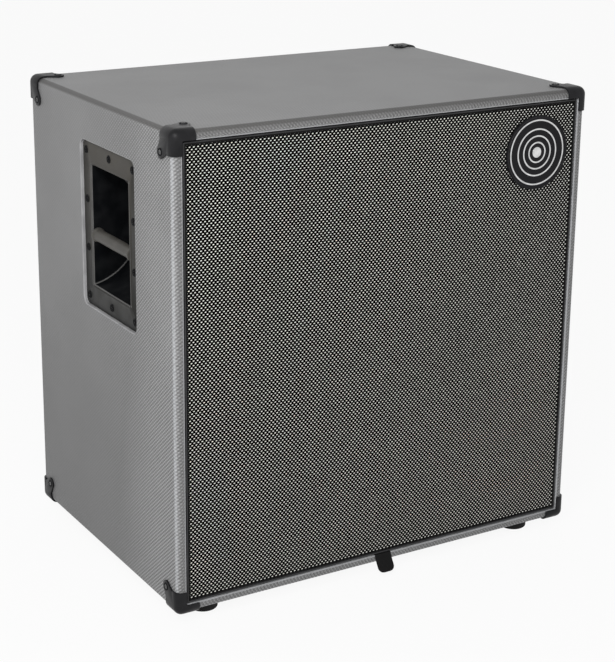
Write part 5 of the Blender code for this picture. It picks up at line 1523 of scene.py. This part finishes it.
def make_horn(finishes, screw):
    """The exponential horn, its flange screws and the compression driver behind it."""
    flange_front = -HORN_FLANGE_THICKNESS - SEAT
    rear_flange = HORN_DEPTH - HORN_REAR_FLANGE_THICKNESS
    stations = [HORN_DEPTH * i / 22 for i in range(23)]
    profile = [(HORN_MOUTH_RADIUS + HORN_LIP, flange_front)]
    profile += [(HORN_MOUTH_RADIUS, flange_front + HORN_LIP_DEPTH)]
    profile += [(horn_radius(depth), depth) for depth in stations]
    profile += [
        (HORN_REAR_FLANGE_RADIUS, HORN_DEPTH),
        (HORN_REAR_FLANGE_RADIUS, rear_flange),
        (horn_radius(rear_flange) + HORN_WALL, rear_flange),
    ]
    profile += [(horn_radius(d) + HORN_WALL, d) for d in reversed(stations) if 0.004 < d < rear_flange]
    profile += [
        (HORN_MOUTH_RADIUS + HORN_WALL, -SEAT),
        (HORN_FLANGE_RADIUS, -SEAT),
        (HORN_FLANGE_RADIUS, flange_front),
    ]
    centre = (0.0, BAFFLE_Y, MIDDLE_Z)
    horn = turned(filleted(profile, 0.0010, 3))
    piece(horn, "round_horn", finishes["black"], "cabinet", ["horn"], centre)
    ring = (HORN_FLANGE_RADIUS + HORN_MOUTH_RADIUS) / 2 + 0.0006
    spots = front_spots(centre, BAFFLE_Y + flange_front, ring, HORN_SCREW_COUNT)
    screws(screw, "horn_screws", spots, HORN_SCREW_RADIUS, finishes["screw"])
    front = HORN_DEPTH + SEAT
    back = front + TWEETER_LENGTH
    profile = [
        (0.0, front + TWEETER_CAP_LENGTH),
        (HORN_THROAT_RADIUS, front + TWEETER_CAP_LENGTH),
        (HORN_THROAT_RADIUS, front),
        (TWEETER_CAP_RADIUS, front),
        (TWEETER_RADIUS, front + TWEETER_CAP_LENGTH),
        (TWEETER_RADIUS, back - TWEETER_CAP_LENGTH),
        (TWEETER_CAP_RADIUS, back),
        (0.0, back),
    ]
    driver = solid_turned(profile, fillet=0.0015)
    piece(driver, "horn_driver", finishes["ferrite"], "cabinet", ["compression_driver"], centre)


def make_ports(finishes):
    """Two straight tubes, each with a flared and flanged mouth."""
    for side_name in ("left", "right"):
        node = "port_tube_" + side_name
        low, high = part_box(node)
        flange = (high.x - low.x) / 2
        outside = flange - PORT_FLANGE_WIDTH
        bore = outside - PORT_WALL
        flange_front = -PORT_FLANGE_THICKNESS - SEAT
        profile = arc((bore + PORT_FLARE, flange_front + PORT_FLARE), PORT_FLARE, 270, 180, 8)[3:]
        profile += [(bore, PORT_LENGTH), (outside, PORT_LENGTH), (outside, -SEAT)]
        profile += [(flange, -SEAT), (flange, flange_front)]
        tube = turned(filleted(profile, 0.0006, 2))
        centre = ((low.x + high.x) / 2, BAFFLE_Y, MIDDLE_Z)
        piece(tube, "reflex_" + node, finishes["black"], "cabinet", [node], centre)


# Grille


def grille_ring(inset, y):
    """A ring round the grille, at an inset from its sides and at a depth."""
    radius = max(GRILLE_CORNER - inset, 0.0005)
    return ring_about(MIDDLE_Z, GRILLE_HALF_WIDTH - inset, GRILLE_HALF_HEIGHT - inset, radius, y, 5)


def make_grille(finishes):
    """The frame, its bead, the stretched cloth and the plain badge."""
    front_y = GRILLE_LOW.y
    back_y = GRILLE_HIGH.y
    border = (GRILLE_HALF_WIDTH - CLOTH_HIGH.x) - SEAT
    band_y = front_y + BAND_DROP
    section = [(0.0, band_y), (border, band_y), (border, CLOTH_HIGH.y + SEAT)]
    section += [(GRILLE_FRAME_WIDTH, CLOTH_HIGH.y + SEAT), (GRILLE_FRAME_WIDTH, back_y), (0.0, back_y)]
    rings = [grille_ring(inset, y) for inset, y in filleted(section, 0.0006, 3)]
    frame_piece = ring_mesh(rings, closed=True)
    piece(frame_piece, "cloth_frame", finishes["paint"], "grille", ["grille_frame"])
    bead = arc((BEAD_INSET, front_y + BEAD_RADIUS), BEAD_RADIUS, 0, 360, 12)[:-1]
    bead_piece = ring_mesh([grille_ring(inset, y) for inset, y in bead], closed=True)
    piece(bead_piece, "grille_bead", finishes["bead"], "grille")
    soft = (CLOTH_HIGH.y - CLOTH_LOW.y) / 4
    inset = GRILLE_HALF_WIDTH - CLOTH_HIGH.x
    section = [(inset + soft, CLOTH_HIGH.y), (inset, CLOTH_HIGH.y - soft)]
    section += [(inset, CLOTH_LOW.y + soft), (inset + soft, CLOTH_LOW.y)]
    cloth = ring_mesh([grille_ring(a, y) for a, y in section], closed=False)
    piece(cloth, "stretched_cloth", finishes["cloth"], "grille", ["grille_cloth"])
    make_badge(finishes)
    make_tab(finishes)


def make_badge(finishes):
    """A plain round badge: a black disc with thin silver rings and a silver middle."""
    low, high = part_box("grille_badge")
    centre = ((low.x + high.x) / 2, high.y, (low.z + high.z) / 2)
    radius = (high.x - low.x) / 2
    thick = high.y - low.y
    face = -thick + BADGE_SUNK
    base = face + 0.0003
    profile = [(0.0, face), (radius - 0.0028, face), (radius - 0.0018, -thick), (radius, -thick)]
    profile += [(radius, 0.0), (0.0, 0.0)]
    disc = solid_turned(profile, "Y", BADGE_STEPS, fillet=0.0006)
    piece(disc, "badge_disc", finishes["badge"], "grille", ["grille_badge"], centre)
    proud = face - BADGE_RING_PROUD
    for i, outer in enumerate(BADGE_RINGS):
        inner = outer - BADGE_RING_WIDTH
        section = [(outer, base), (outer, proud), (inner, proud), (inner, base)]
        band = turned(filleted(section, 0.0004, 2), "Y", BADGE_STEPS)
        piece(band, "badge_ring_" + str(i + 1), finishes["silver"], "grille", (), centre)
    dome = [(0.0, base), (0.0070, base), (0.0070, face - 0.0002), (0.005, face - 0.0006)]
    cap = solid_turned(dome + [(0.0, face - 0.0008)], "Y", 48, fillet=0.001)
    piece(cap, "badge_cap", finishes["silver"], "grille", (), centre)


def make_tab(finishes):
    """The woven strap: under the frame, over the rim and down, with a round end."""
    half = TAB_THICKNESS / 2
    level_z = TAB_HIGH.z - half
    hang_y = TAB_LOW.y + TAB_FLARE + half
    bend_z = level_z - TAB_BEND_RADIUS
    route = [(TAB_HIGH.y - i * 0.002, level_z) for i in range(4)]
    route += arc((hang_y + TAB_BEND_RADIUS, bend_z), TAB_BEND_RADIUS, 90, 180, 6)
    length = bend_z - TAB_LOW.z - TAB_SHORTER
    for i in range(1, 41):
        share = i / 40
        route.append((hang_y - TAB_VISUAL_FLARE * share**1.25, bend_z - length * share))
    lengths = [0.0]
    for (y0, z0), (y1, z1) in zip(route, route[1:]):
        lengths.append(lengths[-1] + hypot(y1 - y0, z1 - z0))
    half_width = (TAB_HIGH.x - TAB_LOW.x) / 2
    rings = []
    for i, (y, z) in enumerate(route):
        before = route[max(i - 1, 0)]
        after = route[min(i + 1, len(route) - 1)]
        size = hypot(after[0] - before[0], after[1] - before[1])
        across = (-(after[1] - before[1]) / size, (after[0] - before[0]) / size)
        left_over = lengths[-1] - lengths[i]
        narrowing = max(0.0, 1 - left_over / TAB_END_RADIUS)
        reach = half_width - TAB_END_RADIUS * (1 - sqrt(1 - narrowing * narrowing))
        outline = rounded_rectangle(reach, half, half * 0.8, 3)
        rings.append([(a, y + b * across[0], z + b * across[1]) for a, b in outline])
    tab = ring_mesh(rings, closed=False)
    piece(tab, "pull_strap", finishes["webbing"], "grille", ["grille_pull_tab"])


# Rear input dish


def make_dish(finishes, screw):
    """The pressed dish, its sockets, the control and the plain dial round it."""
    half_x = DISH_HIGH.x
    half_z = (DISH_HIGH.z - DISH_LOW.z) / 2
    rim_y = DISH_HIGH.y
    flange_y = rim_y - DISH_FLANGE
    outer = (half_x, half_z)
    well = (DISH_HALF_WIDTH, DISH_HALF_HEIGHT)
    section = [
        (well, DISH_WALL - 0.004, 0.004, DISH_LOW.y),
        (well, DISH_WALL, 0.006, DISH_LOW.y + 0.004),
        (well, DISH_WALL, 0.006, flange_y),
        (outer, -0.0003, 0.006, flange_y),
        (outer, 0.0, 0.006, flange_y + 0.0004),
        (outer, 0.0, 0.006, rim_y - 0.0007),
        (outer, -0.0007, 0.0055, rim_y),
        (well, 0.0012, 0.0055, rim_y),
        (well, 0.0003, 0.0048, rim_y - 0.0004),
        (well, 0.0, 0.0045, rim_y - 0.0014),
        (well, 0.0, 0.0045, DISH_FLOOR_Y + 0.003),
        (well, -0.0009, 0.004, DISH_FLOOR_Y + 0.0009),
        (well, -0.003, 0.003, DISH_FLOOR_Y),
    ]
    rings = [ring_about(DISH_Z, a + grown, b + grown, radius, y) for (a, b), grown, radius, y in section]
    dish = ring_mesh(rings, closed=False)
    for x, radius in ((-SOCKET_OFFSET, SOCKET_HOLE), (SOCKET_OFFSET, SOCKET_HOLE), (0.0, CONTROL_HOLE)):
        hole = [(x + a, DISH_Z + b) for a, b in arc((0, 0), radius, 0, 360, 32)[:-1]]
        combine(dish, prism(hole, "Y", DISH_LOW.y - 0.004, DISH_FLOOR_Y + 0.004), "DIFFERENCE")
    piece(dish, "rear_dish", finishes["dish"], "cabinet", ["input_dish"])
    reach_x, reach_z = half_x - DISH_SCREW_INSET, half_z - DISH_SCREW_INSET
    points = product((-reach_x, 0.0, reach_x), (-reach_z, reach_z))
    spots = [((x, rim_y, DISH_Z + z), (0, 1, 0)) for x, z in points]
    screws(screw, "dish_screws", spots, DISH_SCREW_RADIUS, finishes["screw"])
    make_sockets(finishes, screw)
    make_control(finishes)


def make_sockets(finishes, screw):
    """Two round sockets, each a bezel with a keyed well and a post in its middle."""
    spots = []
    for side_name in ("left", "right"):
        node = "speaker_socket_" + side_name
        low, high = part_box(node)
        centre = ((low.x + high.x) / 2, DISH_FLOOR_Y, DISH_Z)
        front = high.y - DISH_FLOOR_Y
        back = low.y - DISH_FLOOR_Y
        profile = [
            (0.0, front - 0.0020),
            (0.0042, front - 0.0020),
            (0.0042, front - 0.016),
            (0.0108, front - 0.016),
            (0.0108, front - 0.0006),
            (0.0120, front),
            (0.0155, front - 0.0008),
            (0.0155, SEAT),
            (0.0125, SEAT),
            (0.0125, back),
            (0.0, back),
        ]
        socket = solid_turned(profile, "Y", 48, fillet=0.0005)
        piece(socket, "twist_" + node, finishes["black"], "cabinet", [node], centre)
        for angle in SOCKET_KEY_ANGLES:
            a = radians(angle)
            x, z = SOCKET_KEY_RADIUS * cos(a), SOCKET_KEY_RADIUS * sin(a)
            key = rounded_block((-0.0010, 0, -0.0012), (0.0010, 0.012, 0.0012), 0.0003, 2)
            key.data.transform(Matrix.Rotation(-a, 4, "Y"))
            place = (centre[0] + x, DISH_FLOOR_Y - 0.0125, DISH_Z + z)
            name = "_".join(("socket_key", side_name, str(angle)))
            piece(key, name, finishes["black"], "cabinet", (), place)
        for sign in (-1, 1):
            spot = (centre[0] + sign * SOCKET_SCREW_X, DISH_FLOOR_Y, DISH_Z + SOCKET_SCREW_Z)
            spots.append((spot, (0, 1, 0)))
    screws(screw, "socket_screws", spots, SOCKET_SCREW_RADIUS, finishes["screw"])


def make_control(finishes):
    """The knob with its grip flutes and white line, and the plain numbered dial."""
    dress("level_control", finishes["steel"], 0.0002)
    low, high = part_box("level_knob")
    centre = (0.0, DISH_FLOOR_Y, DISH_Z)
    base, top = low.y - DISH_FLOOR_Y, high.y - DISH_FLOOR_Y
    radius = (high.x - low.x) / 2
    levels = [(0.6, base), (1.0, base), (1.0, base + 0.001), (0.93, top - 0.0015)]
    levels += [(0.88, top - 0.0004), (0.80, top), (0.45, top), (0.40, top - 0.0004), (0.02, top - 0.0004)]
    angles = [2 * pi * i / KNOB_STEPS for i in range(KNOB_STEPS)]
    rings = []
    for share, height in levels:
        if share > 0.85:
            reaches = [radius * (share - 0.03 + KNOB_FLUTE_SHARE * cos(KNOB_FLUTES * a)) for a in angles]
        else:
            reaches = [radius * share] * KNOB_STEPS
        rings.append([(r * cos(a), height, r * sin(a)) for r, a in zip(reaches, angles)])
    knob = ring_mesh(rings, closed=False)
    piece(knob, "dial_knob", finishes["black"], "knob", ["level_knob"], centre)
    line = rounded_block((-0.0006, top - 0.006, 0.0035), (0.0006, top + 0.00005, radius * 0.86), 0.0002, 2)
    piece(line, "knob_line", finishes["marks"], "knob", (), centre)
    make_ticks(finishes, centre)
    for number in (0, 5, 10):
        make_numeral(finishes, number)


def dial_angle(mark):
    """The angle of one of the dial's marks."""
    return radians(-DIAL_SWEEP + 2 * DIAL_SWEEP * mark / DIAL_STEPS)


def make_ticks(finishes, centre):
    """The dial's marks, with longer ones at its ends and its middle."""
    marks = bmesh.new()
    for i in range(DIAL_STEPS + 1):
        angle = dial_angle(i)
        end = DIAL_RADIUS + (0.0030 if i % 5 == 0 else 0.0018)
        corners = [(-TICK_HALF_WIDTH, DIAL_RADIUS), (TICK_HALF_WIDTH, DIAL_RADIUS)]
        corners += [(TICK_HALF_WIDTH, end), (-TICK_HALF_WIDTH, end)]
        flat = [(-(a * cos(angle) + b * sin(angle)), -a * sin(angle) + b * cos(angle)) for a, b in corners]
        low, high = [[marks.verts.new((x, height, z)) for x, z in flat] for height in (0.0, TICK_HEIGHT)]
        marks.faces.new(low)
        marks.faces.new(high)
        for j in range(4):
            k = (j + 1) % 4
            marks.faces.new((low[j], low[k], high[k], high[j]))
    piece(link_mesh(marks), "dial_ticks", finishes["marks"], "cabinet", (), centre)


def make_numeral(finishes, number):
    """One generic number by the dial, read from behind the cabinet."""
    curve = bpy.data.curves.new("numeral", "FONT")
    curve.body = str(number)
    curve.size = NUMERAL_SIZE
    curve.extrude = TICK_HEIGHT / 2
    curve.align_x = "CENTER"
    curve.align_y = "CENTER"
    text = linked("numeral", curve)
    bpy.context.view_layer.update()
    mesh = bpy.data.meshes.new_from_object(text.evaluated_get(bpy.context.evaluated_depsgraph_get()))
    bpy.data.objects.remove(text, do_unlink=True)
    mesh.transform(Matrix(((-1, 0, 0, 0), (0, 0, 1, 0), (0, 1, 0, 0), (0, 0, 0, 1))))
    reach = DIAL_RADIUS + NUMERAL_REACH
    angle = dial_angle(number)
    place = (-reach * sin(angle), DISH_FLOOR_Y + 0.0001, DISH_Z + reach * cos(angle))
    numeral = linked("numeral", mesh)
    piece(numeral, "dial_number_" + str(number), finishes["marks"], "cabinet", (), place)


# Inside


def make_inside(finishes):
    """The panels, baffle, brace and crossover board keep their CAD shapes. The batt is made."""
    for node in ("top_panel", "bottom_panel", "left_side_panel", "right_side_panel", "window_brace"):
        dress(node, finishes["plywood"])
    dress("baffle", finishes["paint"])
    dress("grille_cleat", finishes["paint"])
    dress("crossover_board", finishes["board"], 0.0003)
    make_lining(finishes)


def make_lining(finishes):
    """The quilted batt of wadding inside the back, with its cut-out for the dish."""
    low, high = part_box("lining_pad")
    batt = bmesh.new()
    cells = LINING_CELLS
    width, height = high.x - low.x, high.z - low.z
    front, back = [], []
    for grid, flat in ((front, False), (back, True)):
        for v in [j / cells for j in range(cells + 1)]:
            line = []
            for u in [i / cells for i in range(cells + 1)]:
                edge = min(u * width, (1 - u) * width, v * height, (1 - v) * height)
                droop = LINING_SOFT * max(0.0, 1 - edge / LINING_SOFT) ** 2
                tuft = (sin(pi * LINING_TUFTS * u) * sin(pi * LINING_TUFTS * v)) ** 2
                y = high.y if flat else low.y + droop + LINING_TUFT_DEPTH * (1 - tuft) ** 3
                line.append(batt.verts.new((low.x + u * width, y, low.z + v * height)))
            grid.append(line)
    for grid in (front, back):
        for j in range(cells):
            for i in range(cells):
                batt.faces.new((grid[j][i], grid[j][i + 1], grid[j + 1][i + 1], grid[j + 1][i]))
    border = [(0, i) for i in range(cells)] + [(j, cells) for j in range(cells)]
    border += [(cells, i) for i in range(cells, 0, -1)] + [(j, 0) for j in range(cells, 0, -1)]
    for (j0, i0), (j1, i1) in zip(border, border[1:] + border[:1]):
        batt.faces.new((front[j0][i0], front[j1][i1], back[j1][i1], back[j0][i0]))
    obj = link_mesh(batt)
    reach = (DISH_HALF_WIDTH + LINING_MARGIN, DISH_HALF_HEIGHT + LINING_MARGIN)
    combine(obj, window_tool(DISH_Z, *reach, 0.006, low.y - 0.01, high.y + 0.01), "DIFFERENCE")
    piece(obj, "quilted_batt", finishes["batting"], "cabinet", ["lining_pad"], angle=60)


# Stage


def make_camera():
    """The camera at the photograph's place and angle."""
    azimuth, elevation = radians(CAMERA_AZIMUTH), radians(CAMERA_ELEVATION)
    back = Vector((sin(azimuth) * cos(elevation), -cos(azimuth) * cos(elevation), sin(elevation)))
    right = (-back).cross(Vector((0, 0, 1))).normalized()
    up = right.cross(-back)
    roll = radians(CAMERA_ROLL)
    across = right * cos(roll) + up * sin(roll)
    upright = up * cos(roll) - right * sin(roll)
    data = bpy.data.cameras.new("camera")
    data.lens = CAMERA_LENS
    data.sensor_width = 36.0
    data.shift_x, data.shift_y = CAMERA_SHIFT
    data.clip_end = 200.0
    camera = linked("camera", data)
    turn = Matrix((across, upright, back)).transposed().to_4x4()
    camera.matrix_world = Matrix.Translation(CAMERA_PLACE) @ turn
    bpy.context.scene.camera = camera


def make_floor():
    """A wide pale floor, which shows paler than it is lit."""
    top = -0.0002
    profile = [(0.0, -0.02), (FLOOR_RADIUS, -0.02), (FLOOR_RADIUS, top), (0.0, top)]
    disc = solid_turned(profile, "Z", 64)
    made = Finish("floor_pale", FLOOR_COLOUR, 1.0, specular=0.0)
    paler = tuple(part + 0.004 for part in FLOOR_COLOUR)
    made.set("Base Color", made.mix(made.noise(made.place(), 0.6), FLOOR_COLOUR, paler))
    glow = made.node("Emission", (1.0, 1.0, 1.0, 1.0), 1.0)
    made.show(made.times(made.direct_rays(), FLOOR_GLOW), made.shader, glow, "Material Output")
    disc.name = "floor"
    disc.data.materials.append(made.material)


def make_light():
    """A plain dome and one large soft lamp from the upper left front."""
    world = bpy.data.worlds.new("studio")
    bpy.context.scene.world = world
    world.use_nodes = True
    made = Nodes(world.node_tree)
    direction = made.place("Generated")
    height = made.remap(made.parts(direction)[2], HORIZON_TOP, ZENITH_FROM, HORIZON_STRENGTH, ZENITH_STRENGTH)
    side = made.vector("DOT_PRODUCT", direction, BACKDROP_SIDE)
    dome = made.tree.nodes["Background"]
    made.put(dome.inputs["Color"], (1.0, 1.0, 1.0, 1.0))
    made.put(dome.inputs["Strength"], made.times(height, made.remap(side, -0.1, 0.6, NEAR_SHARE, 1.0)))
    seen = made.node("Background", (*BACKGROUND, 1.0), 1.0)
    made.show(made.direct_rays(), dome, seen, "World Output")
    data = bpy.data.lights.new("key", "AREA")
    data.shape = "DISK"
    data.size = KEY_SIZE
    data.energy = KEY_POWER
    key = linked("key", data)
    key.location = KEY_PLACE
    aim = Vector((0.0, 0.0, MIDDLE_Z)) - KEY_PLACE
    key.rotation_mode = "QUATERNION"
    key.rotation_quaternion = aim.to_track_quat("-Z", "Y")
    bpy.context.scene.view_settings.view_transform = "Standard"


def build():
    make_camera()
    make_floor()
    make_light()
    finishes = make_finishes()
    screw = screw_mesh()
    make_shell(finishes)
    make_back(finishes, screw)
    make_corners(finishes, screw)
    make_feet(finishes, screw)
    make_handles(finishes, screw)
    make_woofers(finishes, screw)
    make_horn(finishes, screw)
    make_ports(finishes)
    make_grille(finishes)
    make_dish(finishes, screw)
    make_inside(finishes)


build()
